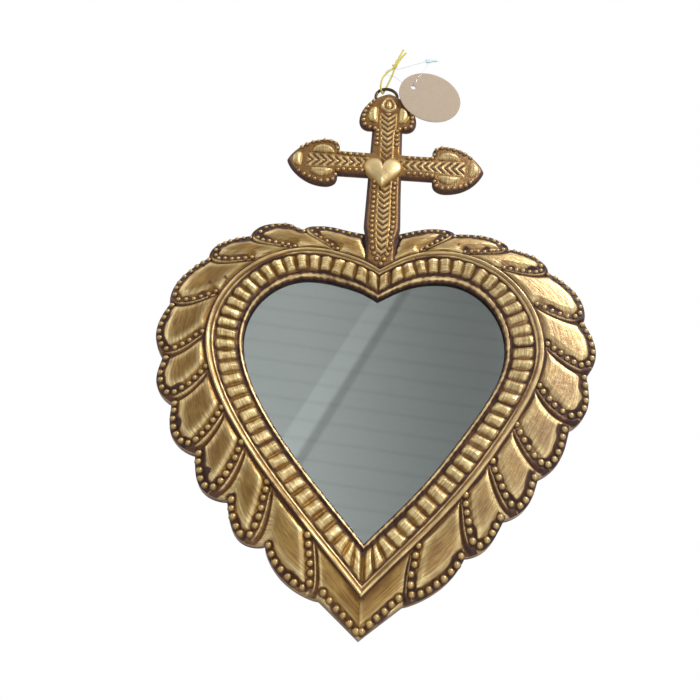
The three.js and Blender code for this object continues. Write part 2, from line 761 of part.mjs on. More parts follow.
function addTag() {
  const shape = new THREE.Shape();
  shape.absarc(0, 0, tagRadius, 0, Math.PI * 2);
  const hole = new THREE.Path();
  hole.absarc(tagHoleOffset.x, tagHoleOffset.y, tagHoleRadius, 0, Math.PI * 2, true);
  shape.holes.push(hole);
  const card = new THREE.ExtrudeGeometry(shape, { depth: tagThickness, bevelEnabled: false, curveSegments: 16 });
  card.translate(0, 0, -tagThickness / 2);
  card.rotateX(Math.PI / 2);
  card.rotateZ(tagTilt);
  card.translate(tagX, -tagCentreHeight, tagZ);
  addNode("tag_card", card, 0xcdb9a5);

  const holeX = tagX + tagHoleOffset.x * Math.cos(tagTilt);
  const holeZ = tagZ + tagHoleOffset.y;
  const threadZ = holeZ + tagHoleRadius - filamentDiameter / 2 - clearance;
  const atHole = tagHeight(holeX);
  const loop = [
    [28.4, hookHeight + 4.2, hookZ + 10.6],
    [20.7, hookHeight + 3.6, hookZ + 7.7],
    [11.8, hookHeight + 3.1, hookZ + 3.9],
    [4, hookHeight + 3.1, hookZ + 0.8],
    [-0.8, hookHeight + 3, hookZ],
    [-3.7, hookHeight + 1.6, hookZ],
    [-3.7, hookHeight - 1.4, hookZ],
    [-0.6, hookHeight - 2.9, hookZ],
    [4.2, hookHeight - 2.8, hookZ - 1.4],
    [10.6, hookHeight - 0.4, hookZ - 9.6],
    [holeX - 1.6, atHole - 3.2, threadZ + 2.6],
    [holeX - 0.1, atHole, threadZ],
    [holeX + 1.6, atHole + 1.9, threadZ + 2.6],
    [24.9, hookHeight + 10.2, hookZ - 9.9],
    [28.7, hookHeight + 8.2, hookZ],
    [30.6, hookHeight + 5.2, hookZ + 8.6],
  ];
  addNode("tag_filament", cordTube(loop, filamentDiameter, 48, 6), 0xdfe9ee);
  const lock = new THREE.Shape([
    new THREE.Vector2(-5, -1.3),
    new THREE.Vector2(-1.2, -2),
    new THREE.Vector2(0.4, -0.9),
    new THREE.Vector2(5, -0.7),
    new THREE.Vector2(5, 0.7),
    new THREE.Vector2(0.4, 1),
    new THREE.Vector2(-1.2, 2),
    new THREE.Vector2(-5, 1.6),
  ]);
  const lockSolid = new THREE.ExtrudeGeometry(lock, { depth: 1.4, bevelEnabled: false });
  lockSolid.rotateX(Math.PI / 2);
  lockSolid.rotateY(THREE.MathUtils.degToRad(-8));
  lockSolid.translate(33.6, -hookHeight - 4, hookZ + 11.6);
  addNode("tag_lock", lockSolid, 0xd8edf2);
}

const sheet = heartShell().add(verticalBar()).add(horizontalBar()).add(smallHeart());
addNode("front_sheet", toGeometry(sheet), 0xb28e4a);
addPlates();
addTabs();
addRimSolder();
addRing();
addCord();
addTag();

export default group;
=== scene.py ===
import math
import bpy
import numpy as np
from mathutils import Matrix, Vector, geometry


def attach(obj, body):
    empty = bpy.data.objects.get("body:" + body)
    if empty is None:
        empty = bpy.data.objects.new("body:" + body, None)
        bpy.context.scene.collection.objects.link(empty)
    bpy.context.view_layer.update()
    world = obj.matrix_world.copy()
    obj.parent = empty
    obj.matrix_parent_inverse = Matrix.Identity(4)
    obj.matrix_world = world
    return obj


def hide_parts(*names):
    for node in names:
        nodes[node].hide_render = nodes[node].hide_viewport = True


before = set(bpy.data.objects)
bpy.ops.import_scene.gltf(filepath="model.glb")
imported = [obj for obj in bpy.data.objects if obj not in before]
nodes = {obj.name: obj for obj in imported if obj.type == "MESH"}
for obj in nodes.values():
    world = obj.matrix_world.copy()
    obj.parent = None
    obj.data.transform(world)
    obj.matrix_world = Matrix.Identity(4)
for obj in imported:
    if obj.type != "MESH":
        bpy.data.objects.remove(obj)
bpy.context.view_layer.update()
mm = 0.001


# small helpers

def deselectAll():
    bpy.ops.object.select_all(action="DESELECT")


def makeActive(piece):
    deselectAll()
    piece.select_set(True)
    bpy.context.view_layer.objects.active = piece


def smoothShade(piece, angle=35):
    makeActive(piece)
    bpy.ops.object.shade_smooth_by_angle(angle=math.radians(angle))


def bakePlace(piece):
    makeActive(piece)
    bpy.ops.object.transform_apply(location=True, rotation=True, scale=True)


def faceOutwards(piece):
    makeActive(piece)
    bpy.ops.object.mode_set(mode="EDIT")
    bpy.ops.mesh.select_all(action="SELECT")
    bpy.ops.mesh.normals_make_consistent(inside=False)
    bpy.ops.object.mode_set(mode="OBJECT")


def fadeIn(value, low, high):
    share = np.clip((value - low) / (high - low), 0, 1)
    return share * share * (3 - 2 * share)


def fadeOut(value, low, high):
    return 1 - fadeIn(value, low, high)


def hump(value, centre, width):
    return np.exp(-((value - centre) / width) ** 2)


def meshPiece(name, points, faces, attributes=None, uv=None, smooth=True):
    # points in millimetres as x, height in front of the wall, z
    data = bpy.data.meshes.new(name)
    place = np.column_stack([points[:, 0], -points[:, 1], points[:, 2]]) * mm
    data.from_pydata(place.tolist(), [], faces)
    data.update()
    for label, values in (attributes or {}).items():
        layer = data.attributes.new(label, "FLOAT", "POINT")
        layer.data.foreach_set("value", np.asarray(values, np.float32))
    if uv is not None:
        layer = data.uv_layers.new(name="brushUv")
        corner = np.zeros(len(data.loops), np.int32)
        data.loops.foreach_get("vertex_index", corner)
        layer.data.foreach_set("uv", (uv[corner] * mm).astype(np.float32).ravel())
    if smooth:
        data.polygons.foreach_set("use_smooth", np.ones(len(data.polygons), bool))
    piece = bpy.data.objects.new(name, data)
    bpy.context.scene.collection.objects.link(piece)
    return piece


def lifted(flat, height):
    # flat places raised in front of the wall
    return np.column_stack([flat[:, 0], np.broadcast_to(height, len(flat)), flat[:, 1]])


def ringFaces(count, rings, closed=False):
    # four-sided faces between rings of points that follow one another
    faces = []
    for k in range(rings if closed else rings - 1):
        a, b = k * count, (k + 1) % rings * count
        faces += [[a + i, a + (i + 1) % count, b + (i + 1) % count, b + i] for i in range(count)]
    return faces


def capFaces(centre, start, count):
    # three-sided faces between a ring of points and the point in its middle
    return [[centre, start + i, start + (i + 1) % count] for i in range(count)]


def walkedTo(line):
    # how far along a flat line each of its points is
    return np.concatenate([[0], np.cumsum(np.hypot(*np.diff(line, axis=0).T))])


def spreadAlong(line, count, endpoint=True):
    # points at an even step along a flat line
    walked = walkedTo(line)
    goal = np.linspace(0, walked[-1], count, endpoint=endpoint)
    return np.stack([np.interp(goal, walked, line[:, k]) for k in range(2)], -1)


class smoothNoise:
    # soft seeded waves, so that nothing on the hand-made sheet is quite regular
    def __init__(self, seed, reach, count=14):
        rng = np.random.default_rng(seed)
        angle = rng.uniform(0, 2 * math.pi, count)
        size = rng.uniform(0.7, 1.6, count) / reach
        self.wave = np.stack([np.cos(angle) * size, np.sin(angle) * size])
        self.phase = rng.uniform(0, 2 * math.pi, count)

    def __call__(self, x, z):
        total = np.zeros(np.broadcast(x, z).shape)
        for k in range(len(self.phase)):
            total = total + np.sin(self.wave[0, k] * x + self.wave[1, k] * z + self.phase[k])
        return total / math.sqrt(len(self.phase) / 2)


# camera

cameraView = {
    "lookAt": (-16.6, 0.0, -0.3),
    "distance": 462.4,
    "fromBelow": 25.0,
    "roll": 3.0,
    "lean": 1.1,
    "focalPixels": 680.0,
    "imagePixels": 700.0,
}


def placeCamera(view):
    lean = math.radians(view["lean"])
    below = math.radians(view["fromBelow"])
    roll = math.radians(view["roll"])
    across = Vector((math.cos(lean), 0, math.sin(lean)))
    along = Vector((-math.sin(lean), 0, math.cos(lean)))
    front = Vector((0, -1, 0))
    ahead = math.sin(below) * along - math.cos(below) * front
    up = math.cos(below) * along + math.sin(below) * front
    right = math.cos(roll) * across + math.sin(roll) * up
    top = math.cos(roll) * up - math.sin(roll) * across
    data = bpy.data.cameras.new("photoCamera")
    data.sensor_width = 36
    data.lens = 36 * view["focalPixels"] / view["imagePixels"]
    data.clip_start = 0.01
    camera = bpy.data.objects.new("photoCamera", data)
    bpy.context.scene.collection.objects.link(camera)
    eye = Vector(view["lookAt"]) * mm - ahead * view["distance"] * mm
    camera.matrix_world = Matrix((
        (right.x, top.x, -ahead.x, eye.x),
        (right.y, top.y, -ahead.y, eye.y),
        (right.z, top.z, -ahead.z, eye.z),
        (0, 0, 0, 1),
    ))
    bpy.context.scene.camera = camera


placeCamera(cameraView)
print("camera placed")


# shader groups and small node helpers

def feed(made, values):
    # outputs of other nodes are linked, plain values are set on the sockets themselves
    for label, value in values.items():
        if isinstance(value, bpy.types.NodeSocket):
            made.id_data.links.new(value, made.inputs[label])
        else:
            made.inputs[label].default_value = value
    return made


def node(tree, kind, values=None, **settings):
    made = tree.nodes.new(kind)
    for label, value in settings.items():
        setattr(made, label, value)
    return feed(made, values or {})


def math2(tree, operation, *values, clamp=False):
    values = dict(enumerate(values))
    return node(tree, "ShaderNodeMath", values, operation=operation, use_clamp=clamp).outputs[0]


def plus(tree, a, b):
    return math2(tree, "ADD", a, b)


def minus(tree, a, b):
    return math2(tree, "SUBTRACT", a, b)


def times(tree, a, b, clamp=False):
    return math2(tree, "MULTIPLY", a, b, clamp=clamp)


def noiseAt(tree, place, scale, detail=3, roughness=0.55):
    values = {"Vector": place, "Scale": scale, "Detail": detail, "Roughness": roughness}
    return node(tree, "ShaderNodeTexNoise", values).outputs["Fac"]


def ramp(tree, value, low, high, start=0.0, end=1.0):
    values = {"Value": value, "From Min": low, "From Max": high, "To Min": start, "To Max": end}
    return node(tree, "ShaderNodeMapRange", values, interpolation_type="SMOOTHSTEP").outputs[0]


def mixColour(tree, factor, a, b):
    return node(tree, "ShaderNodeMix", {0: factor, 6: a, 7: b}, data_type="RGBA").outputs[2]


def layered(tree, base, *layers):
    # each tone is laid over those before it by its share
    for share, tone in layers:
        base = mixColour(tree, share, base, tone)
    return base


def stretched(tree, place, sizes):
    # the place with its axes scaled, for streaks and fibres
    return node(tree, "ShaderNodeVectorMath", {0: place, 1: sizes}, operation="MULTIPLY").outputs[0]


def cells(tree, place, scale):
    return node(tree, "ShaderNodeTexVoronoi", {"Vector": place, "Scale": scale}).outputs["Distance"]


def attributeOf(tree, name):
    return node(tree, "ShaderNodeAttribute", attribute_name=name).outputs["Fac"]


def newGroup(name, inputs, outputs):
    # an input without a value is a place, all the others are numbers
    group = bpy.data.node_groups.new(name, "ShaderNodeTree")
    for label, value in inputs.items():
        kind = "NodeSocketVector" if value is None else "NodeSocketFloat"
        socket = group.interface.new_socket(label, in_out="INPUT", socket_type=kind)
        if value is not None:
            socket.default_value = value
    for label in outputs:
        group.interface.new_socket(label, in_out="OUTPUT", socket_type="NodeSocketFloat")
    return group, group.nodes.new("NodeGroupInput").outputs, group.nodes.new("NodeGroupOutput")


def groupNode(tree, group, **values):
    return node(tree, "ShaderNodeGroup", values, node_tree=group).outputs


def bumpInto(tree, shader, height, distance, strength=1.0):
    values = {"Height": height, "Distance": distance, "Strength": strength}
    feed(shader, {"Normal": node(tree, "ShaderNodeBump", values).outputs["Normal"]})


def colour(r, g, b):
    # screen values from 0 to 255 as the shader's own numbers
    def linear(c):
        c = c / 255
        return c / 12.92 if c <= 0.04045 else ((c + 0.055) / 1.055) ** 2.4
    return (linear(r), linear(g), linear(b), 1)


patinaShadeLook = {
    "broad": (60, 4),
    "fine": (620, 4, 0.65),
    "broadShare": 0.6,
    "fineShare": 0.4,
    "patinaAndShade": (0.35, 1.15),
    "blotch": (0.36, 0.66),
    "cells": 330.0,
    "dots": (0.10, 0.18, 1.0, 0.0),
    "rare": (160, 2),
    "rareEdge": (0.60, 0.68),
}

brushLook = {
    "thin": (1.0, 5, 0.6),
    "scratch": (0.32, 0.68),
    "wider": 0.3,
    "wide": (1.0, 3, 0.5),
    "streak": (0.35, 0.66),
}


def makePatinaShadeGroup(look):
    # dark lacquer left in the hollows and rubbed off the raised metal; the hollow mask it reads
    # also holds painted shade, so its dark is patina and painted shade together
    inputs = {"Place": None, "Hollow": 0.0, "Amount": 0.5, "Ragged": 0.4}
    group, start, end = newGroup("patinaWearAndShade", inputs, ["PatinaAndShade", "Blotch", "Speck"])
    place = start["Place"]
    broad, fine = noiseAt(group, place, *look["broad"]), noiseAt(group, place, *look["fine"])
    broadPart = times(group, broad, look["broadShare"])
    finePart = times(group, fine, look["fineShare"])
    both = minus(group, plus(group, broadPart, finePart), 0.5)
    shifted = times(group, both, start["Ragged"])
    total = plus(group, plus(group, start["Hollow"], shifted), start["Amount"])
    dots = ramp(group, cells(group, place, look["cells"]), *look["dots"])
    rare = ramp(group, noiseAt(group, place, *look["rare"]), *look["rareEdge"])
    feed(end, {
        "PatinaAndShade": ramp(group, total, *look["patinaAndShade"]),
        "Blotch": ramp(group, broad, *look["blotch"]),
        "Speck": times(group, dots, rare),
    })
    return group


def makeBrushGroup(look):
    # long fine scratches along the piece's own brush map
    inputs = {"Place": None, "Along": 90.0, "Across": 900.0}
    group, start, end = newGroup("brushScratches", inputs, ["Scratch", "Streak"])
    sizes = node(group, "ShaderNodeCombineXYZ", {"X": start["Along"], "Y": start["Across"]})
    scaled = stretched(group, start["Place"], sizes.outputs[0])
    wide = stretched(group, scaled, (look["wider"],) * 3)
    thin, streak = noiseAt(group, scaled, *look["thin"]), noiseAt(group, wide, *look["wide"])
    feed(end, {
        "Scratch": ramp(group, thin, *look["scratch"]),
        "Streak": ramp(group, streak, *look["streak"]),
    })
    return group


def makeDentGroup():
    # the uneven surface of thin sheet that was worked by hand
    group, start, end = newGroup("handDents", {"Place": None, "Size": 260.0}, ["Height"])
    broad = noiseAt(group, start["Place"], start["Size"], 3, 0.5)
    fine = times(group, noiseAt(group, start["Place"], 1700, 3), 0.22)
    feed(end, {"Height": plus(group, broad, fine)})
    return group


patinaShadeGroup = makePatinaShadeGroup(patinaShadeLook)
brushGroup = makeBrushGroup(brushLook)
dentGroup = makeDentGroup()


def startMaterial(name, place="Object"):
    material = bpy.data.materials.new(name)
    material.use_nodes = True
    tree = material.node_tree
    shader = tree.nodes["Principled BSDF"]
    source = tree.nodes.new("ShaderNodeTexCoord")
    return material, tree, shader, source.outputs[place]


def finish(piece, material, body, slotName, *replaced):
    piece.data.materials.append(material)
    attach(piece, body)
    for name in replaced:
        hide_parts(name)


# cord and filament: the routes are those of the CAD source

cordLook = {
    "diameter": 1.6,
    "sides": 18,
    "step": 0.35,
    "twist": {"plies": 3, "twistPitch": 5.2, "groove": 0.17},
    "length": 0.106,
    "knotSize": 2.1,
    "knotThread": 1.5,
    "knotSides": 14,
    "route": [
        (9.9, 5.65, 280.0), (8.6, 5.62, 276.2), (6.45, 5.55, 270.5), (4.6, 5.35, 266.4),
        (3.9, 5.15, 263.6), (3.1, 4.9, 261.2), (1.8, 4.7, 258.9), (-0.8, 4.9, 256.0),
        (-3.0, 5.25, 252.7), (-5.2, 5.7, 248.4), (-6.6, 6.15, 243.9), (-7.3, 6.85, 236.76),
        (-6.9, 5.85, 232.69), (-6.0, 3.95, 231.96), (-5.1, 2.17, 232.76), (-3.6, 1.45, 237.16),
        (-1.6, 2.0, 243.0), (0.4, 2.65, 248.4), (2.0, 3.4, 253.6), (3.2, 4.1, 258.5),
        (3.9, 4.3, 261.6), (5.2, 4.15, 264.6), (7.6, 3.75, 270.5), (9.9, 3.7, 275.0),
        (12.4, 3.65, 278.8),
    ],
    "knotAt": (3.4, 4.65, 261.5),
    "exit": (3.4, 4.65, 261.5),
}

filamentLook = {
    "diameter": 0.5,
    "sides": 8,
    "step": 0.5,
    "length": 0.111,
    "route": [
        (28.4, 8.45, 264.6), (20.7, 7.85, 261.7), (11.8, 7.35, 257.9), (4.0, 7.35, 254.8),
        (-0.8, 7.25, 254.0), (-3.7, 5.85, 254.0), (-3.7, 2.85, 254.0), (-0.6, 1.35, 254.0),
        (4.2, 1.45, 252.6), (10.6, 3.85, 244.4), (17.07, 10.38, 233.65), (18.57, 13.58, 231.05),
        (20.27, 15.48, 233.65), (24.9, 14.45, 244.1), (28.7, 12.45, 254.0), (30.6, 9.45, 262.6),
    ],
    "exit": (4.0, 7.35, 254.8),
}


def smoothRoute(points, step):
    # a rounded line through all the points, at an even step
    points = np.array(points, float)
    padded = np.vstack([2 * points[0] - points[1], points, 2 * points[-1] - points[-2]])
    t = np.linspace(0, 1, 24, endpoint=False)[:, None]
    parts = []
    for a, b, c, d in zip(padded[:-3], padded[1:-2], padded[2:-1], padded[3:]):
        bend = (2 * a - 5 * b + 4 * c - d) * t ** 2 + (3 * b - a - 3 * c + d) * t ** 3
        parts.append(0.5 * (2 * b + (c - a) * t + bend))
    line = np.vstack(parts + [points[-1:]])
    walked = np.concatenate([[0], np.cumsum(np.linalg.norm(np.diff(line, axis=0), axis=1))])
    goal = np.linspace(0, walked[-1], max(8, int(walked[-1] / step)))
    return np.stack([np.interp(goal, walked, line[:, k]) for k in range(3)], -1)


def threadTube(name, line, diameter, sides, plies=0, twistPitch=5.0, groove=0.0, closed=False):
    # a tube along a line; with plies its surface winds round as twisted thread does
    ahead = np.gradient(line, axis=0)
    if closed:
        ahead = np.roll(line, -1, 0) - np.roll(line, 1, 0)
    ahead /= np.linalg.norm(ahead, axis=1)[:, None]
    side = np.cross(ahead[0], (0, 1, 0.2))
    side /= np.linalg.norm(side)
    walked = 0.0
    points, ply = [], []
    angles = np.linspace(0, 2 * math.pi, sides, endpoint=False)
    for k, (centre, direction) in enumerate(zip(line, ahead)):
        side = side - direction * np.dot(side, direction)
        side /= np.linalg.norm(side)
        other = np.cross(direction, side)
        walked += np.linalg.norm(line[k] - line[k - 1]) if k else 0
        twist = 2 * math.pi * walked / twistPitch
        lobe = np.abs(np.sin(plies / 2 * (angles - twist))) if plies else np.ones(sides)
        radius = diameter / 2 * (1 - groove * (1 - lobe))
        ring = np.outer(np.cos(angles) * radius, side) + np.outer(np.sin(angles) * radius, other)
        points.append(centre + ring)
        ply.append(1 - lobe)
    count = len(line)
    points, ply = np.vstack(points), np.concatenate(ply)
    faces = ringFaces(sides, count, closed)
    if not closed:
        points = np.vstack([points, line[:1], line[-1:]])
        ply = np.concatenate([ply, [0, 0]])
        faces += [face[::-1] for face in capFaces(count * sides, 0, sides)]
        faces += capFaces(count * sides + 1, (count - 1) * sides, sides)
    piece = meshPiece(name, points, faces, {"hollow": ply})
    faceOutwards(piece)
    return piece


def cloudyFinish(name, look):
    # two tones in soft clouds; the cloud may also shift the gloss and raise the surface a little
    material, tree, shader, place = startMaterial(name)
    if "stretch" in look:
        place = stretched(tree, place, look["stretch"])
    cloud = noiseAt(tree, place, *look["cloud"])
    if "tones" in look:
        feed(shader, {"Base Color": mixColour(tree, cloud, *look["tones"])})
    if "gloss" in look:
        feed(shader, {"Roughness": ramp(tree, cloud, *look["gloss"])})
    if "bump" in look:
        bumpInto(tree, shader, cloud, *look["bump"])
    feed(shader, look["plain"])
    return material


threadLook = {
    "stretch": (3200.0, 3200.0, 900.0),
    "cloud": (1.0, 4),
    "tones": (colour(196, 178, 44), colour(238, 226, 88)),
    # painted shade for the grooves between the plies
    "deep": colour(128, 112, 26),
    "bump": (0.0002, 0.6),
    "plain": {"Roughness": 0.62, "Sheen Weight": 0.3},
}

nylonLook = {
    "cloud": (900, 2),
    "bump": (0.0001, 0.3),
    "plain": {
        "Base Color": colour(232, 243, 247), "Roughness": 0.12,
        "IOR": 1.53, "Transmission Weight": 0.75,
    },
}

lockFinish = {
    "cloud": (500, 3),
    "tones": (colour(198, 226, 232), colour(222, 240, 242)),
    "bump": (0.0002, 0.4),
    "plain": {
        "Roughness": 0.28, "Subsurface Weight": 0.15,
        "Subsurface Radius": (0.001, 0.001, 0.001),
    },
}

kraftLook = {
    "fibres": (260.0, 900.0, 1500.0),
    "flecks": (1100.0, 900.0, 420.0),
    "tones": (colour(158, 140, 120), colour(190, 174, 154)),
    "darkFleck": colour(128, 102, 80),
    "paleFleck": colour(216, 200, 180),
    "cloud": colour(186, 164, 140),
    "roughness": 0.85,
}


def makeThreadMaterial(look):
    material = cloudyFinish("yellowThread", look)
    tree = material.node_tree
    shader = tree.nodes["Principled BSDF"]
    # painted shade: the grooves between the twisted plies are darkened
    groove = ramp(tree, attributeOf(tree, "hollow"), 0.45, 1.0)
    tone = shader.inputs["Base Color"].links[0].from_socket
    feed(shader, {"Base Color": mixColour(tree, groove, tone, look["deep"])})
    return material


def makeKraftMaterial(look):
    material, tree, shader, place = startMaterial("kraftCard")
    fibres = noiseAt(tree, stretched(tree, place, look["fibres"]), 1.0, 5, 0.65)
    flecks = noiseAt(tree, stretched(tree, place, look["flecks"]), 1.0, 4, 0.7)
    tone = layered(
        tree, mixColour(tree, fibres, *look["tones"]),
        (ramp(tree, flecks, 0.62, 0.72), look["darkFleck"]),
        (ramp(tree, flecks, 0.30, 0.22), look["paleFleck"]),
        (times(tree, noiseAt(tree, place, 90, 3), 0.35), look["cloud"]),
    )
    feed(shader, {"Base Color": tone, "Roughness": look["roughness"]})
    bumpInto(tree, shader, fibres, 0.0002, 0.5)
    return material


def knotLine(size, centre, count=150):
    t = np.linspace(0, 2 * math.pi, count, endpoint=False)
    x = (np.sin(t) + 2 * np.sin(2 * t)) * size * 0.27
    z = (np.cos(t) - 2 * np.cos(2 * t)) * size * 0.36
    h = -np.sin(3 * t) * size * 0.26
    return np.column_stack([x, h, z]) + centre


threadMaterial = makeThreadMaterial(threadLook)
cordLine = smoothRoute(cordLook["route"], cordLook["step"])
hangingCord = threadTube(
    "hangingCord", cordLine, cordLook["diameter"], cordLook["sides"], **cordLook["twist"],
)
cordNodes = ("cord_loop", "cord_tail_left", "cord_tail_right")
finish(hangingCord, threadMaterial, "frame", "yellow_cord", *cordNodes)

cordKnot = threadTube(
    "cordKnot", knotLine(cordLook["knotSize"], cordLook["knotAt"]),
    cordLook["knotThread"], cordLook["knotSides"], closed=True, **cordLook["twist"],
)
finish(cordKnot, threadMaterial, "frame", "yellow_cord", "cord_knot")


# the round card tag: punched disc on its filament, with the pale lock where the filament closes

tagLook = {
    "radius": 25.4,
    "thickness": 0.8,
    "holeRadius": 2.0,
    "holeAt": (-14.0, 7.0),
    "centre": (32.5, 11.39, 222.6),
    "tilt": 9.0,
    "bow": 0.35,
    "edge": 0.12,
    "around": 112,
    "rings": [0.0, 0.02, 0.06, 0.14, 0.26, 0.42, 0.60, 0.78, 0.92, 0.985, 1.0],
}

lockLook = {
    "outline": [
        (-5, -1.3), (-3.4, -1.9), (-1.2, -2.0), (0.4, -0.9), (5, -0.7),
        (5, 0.7), (0.4, 1.0), (-1.2, 2.0), (-3.4, 2.0), (-5, 1.6),
    ],
    "at": (33.6, 265.6),
    "turn": -8,
    "low": 8.25,
    "thickness": 1.4,
    "bevel": 0.3,
}


def makeTagCard():
    # rings from the punched hole out to the rim, front and back, closed over both edges
    look = tagLook
    angles = np.linspace(0, 2 * math.pi, look["around"], endpoint=False)
    circle = np.column_stack([np.cos(angles), np.sin(angles)])
    hole, rim = circle * look["holeRadius"] + look["holeAt"], circle * look["radius"]
    half = look["thickness"] / 2
    profile = [(s, half - (look["edge"] if s in (0.0, 1.0) else 0.0)) for s in look["rings"]]
    rings = profile + [(s, -h) for s, h in reversed(profile)]
    points = []
    for share, lift in rings:
        flat = hole * (1 - share) + rim * share
        bow = look["bow"] * ((flat[:, 0] / look["radius"]) ** 2 - 0.5)
        points.append(lifted(flat, lift + bow))
    points = np.vstack(points)
    c, s = math.cos(math.radians(look["tilt"])), math.sin(math.radians(look["tilt"]))
    x, h = points[:, 0].copy(), points[:, 1].copy()
    points[:, 0] = x * c + h * s
    points[:, 1] = h * c - x * s
    points += look["centre"]
    faces = ringFaces(look["around"], len(rings), closed=True)
    card = meshPiece("tagCard", points, faces)
    faceOutwards(card)
    return card


def makeLock():
    # a flat paddle with a narrow throat, rounded along its edges
    look = lockLook
    deselectAll()
    bpy.ops.mesh.primitive_plane_add(size=1)
    lock = bpy.context.object
    lock.name = "tagLock"
    c, s = math.cos(math.radians(look["turn"])), math.sin(math.radians(look["turn"]))
    count, corners = len(look["outline"]), []
    for height in (look["low"], look["low"] + look["thickness"]):
        for u, v in look["outline"]:
            corners.append((u * c + v * s + look["at"][0], -height, -u * s + v * c + look["at"][1]))
    faces = [list(range(count))[::-1], list(range(count, 2 * count))] + ringFaces(count, 2)
    lock.data.clear_geometry()
    lock.data.from_pydata([Vector(corner) * mm for corner in corners], [], faces)
    lock.data.update()
    faceOutwards(lock)
    bevel = lock.modifiers.new("rounded", "BEVEL")
    bevel.width = look["bevel"] * mm
    bevel.segments = 3
    makeActive(lock)
    bpy.ops.object.modifier_apply(modifier="rounded")
    smoothShade(lock, 40)
    return lock


filamentLine = smoothRoute(filamentLook["route"], filamentLook["step"])
tagFilament = threadTube(
    "tagFilament", filamentLine, filamentLook["diameter"], filamentLook["sides"],
)
finish(tagFilament, cloudyFinish("clearNylon", nylonLook), "tag", "clear_nylon", "tag_filament")
tagCard = makeTagCard()
smoothShade(tagCard, 30)
finish(tagCard, makeKraftMaterial(kraftLook), "tag", "kraft_card", "tag_card")
tagLock = makeLock()
finish(tagLock, cloudyFinish("palePlastic", lockFinish), "tag", "pale_plastic", "tag_lock")
print("cord, knot, filament and tag made")


# antique gold

goldFinish = {
    "deep": colour(50, 28, 22),
    "brown": colour(104, 66, 42),
    "shade": colour(136, 100, 46),
    "gold": colour(190, 154, 80),
    "rubbedAndHighlightGold": colour(246, 222, 162),
    "speck": colour(20, 13, 10),
    "pale": colour(206, 183, 152),  # paler towards the right: painted light falling from the right, with some rubbed lacquer
    "litPaleRight": 0.42,
    "olive": colour(112, 84, 34),  # darker olive towards the left: painted shade, with some more lacquer left
    "shadedOliveLeft": 0.6,
    "metal": 0.78,
    "metalInHollows": 0.2,
    "rough": 0.36,
    "roughInHollows": 0.55,
    "ragged": 0.8,
    "streaks": 0.5,
    "crestsRubbedAndLit": 0.95,
    "scratches": 0.6,
    "dentSize": 260.0,
    "dents": 0.65,
    "scratchDepth": 0.16,
    "scratchRough": 0.1,
    "bump": (0.0005, 0.75),
    "rightEdge": (0.0, 0.12),
    "leftEdge": (-0.13, -0.03),
    "brownEdge": (0.05, 0.6),
    "deepEdge": (0.5, 1.0),
    "hollowEdge": (0.1, 0.9),
}


def antiqueGold(name, amount, brushed=True):
    look = goldFinish
    material, tree, shader, place = startMaterial(name)
    hollow, proudWearAndHighlight = attributeOf(tree, "hollow"), attributeOf(tree, "proudWearAndHighlight")
    wear = groupNode(
        tree, patinaShadeGroup, Place=place, Hollow=hollow, Amount=amount, Ragged=look["ragged"],
    )
    dents = groupNode(tree, dentGroup, Place=place, Size=look["dentSize"])
    if brushed:
        brushMap = node(tree, "ShaderNodeUVMap", uv_map="brushUv").outputs["UV"]
        brush = groupNode(tree, brushGroup, Place=brushMap)
        scratch, streak = brush["Scratch"], brush["Streak"]
    else:
        scratch, streak = noiseAt(tree, place, 1500, 3), noiseAt(tree, place, 300, 2)
    # the patina mask carries painted shade as well: where it is dark the gold turns brown and deep,
    # less metallic and rougher
    patinaAndShade = wear["PatinaAndShade"]
    across = node(tree, "ShaderNodeSeparateXYZ", {"Vector": place}).outputs["X"]
    base = layered(
        tree, mixColour(tree, wear["Blotch"], look["shade"], look["gold"]),
        (times(tree, streak, look["streaks"]), look["gold"]),
        # painted light and shade across the sheet: paler on the right, darker olive on the left
        (ramp(tree, across, *look["rightEdge"], 0.0, look["litPaleRight"]), look["pale"]),
        (ramp(tree, across, *look["leftEdge"], look["shadedOliveLeft"], 0.0), look["olive"]),
        # painted highlight with rubbed metal: pale gold laid on the raised crests
        (times(tree, proudWearAndHighlight, look["crestsRubbedAndLit"], clamp=True), look["rubbedAndHighlightGold"]),
        (times(tree, scratch, look["scratches"]), look["brown"]),
        (ramp(tree, patinaAndShade, *look["brownEdge"]), look["brown"]),
        (ramp(tree, patinaAndShade, *look["deepEdge"]), look["deep"]),
        (wear["Speck"], look["speck"]),
    )
    edge = look["hollowEdge"]
    worn = ramp(tree, patinaAndShade, *edge, look["rough"], look["roughInHollows"])
    scratchRough = times(tree, scratch, look["scratchRough"])
    feed(shader, {
        "Base Color": base,
        "Metallic": ramp(tree, patinaAndShade, *edge, look["metal"], look["metalInHollows"]),
        "Roughness": plus(tree, worn, scratchRough),
    })
    dented = times(tree, dents["Height"], look["dents"])
    scratched = times(tree, scratch, look["scratchDepth"])
    bumpInto(tree, shader, plus(tree, dented, scratched), *look["bump"])
    return material


sheetGold = antiqueGold("antiqueGoldSheet", 0.0)
crossGold = antiqueGold("antiqueGoldCross", 0.02)
smoothGold = antiqueGold("antiqueGoldSmooth", -0.1, brushed=False)
beadGold = antiqueGold("antiqueGoldBeads", -0.02, brushed=False)
print("gold finishes ready")


# the heart's outlines: the CAD source's bands, set to the worked sheet

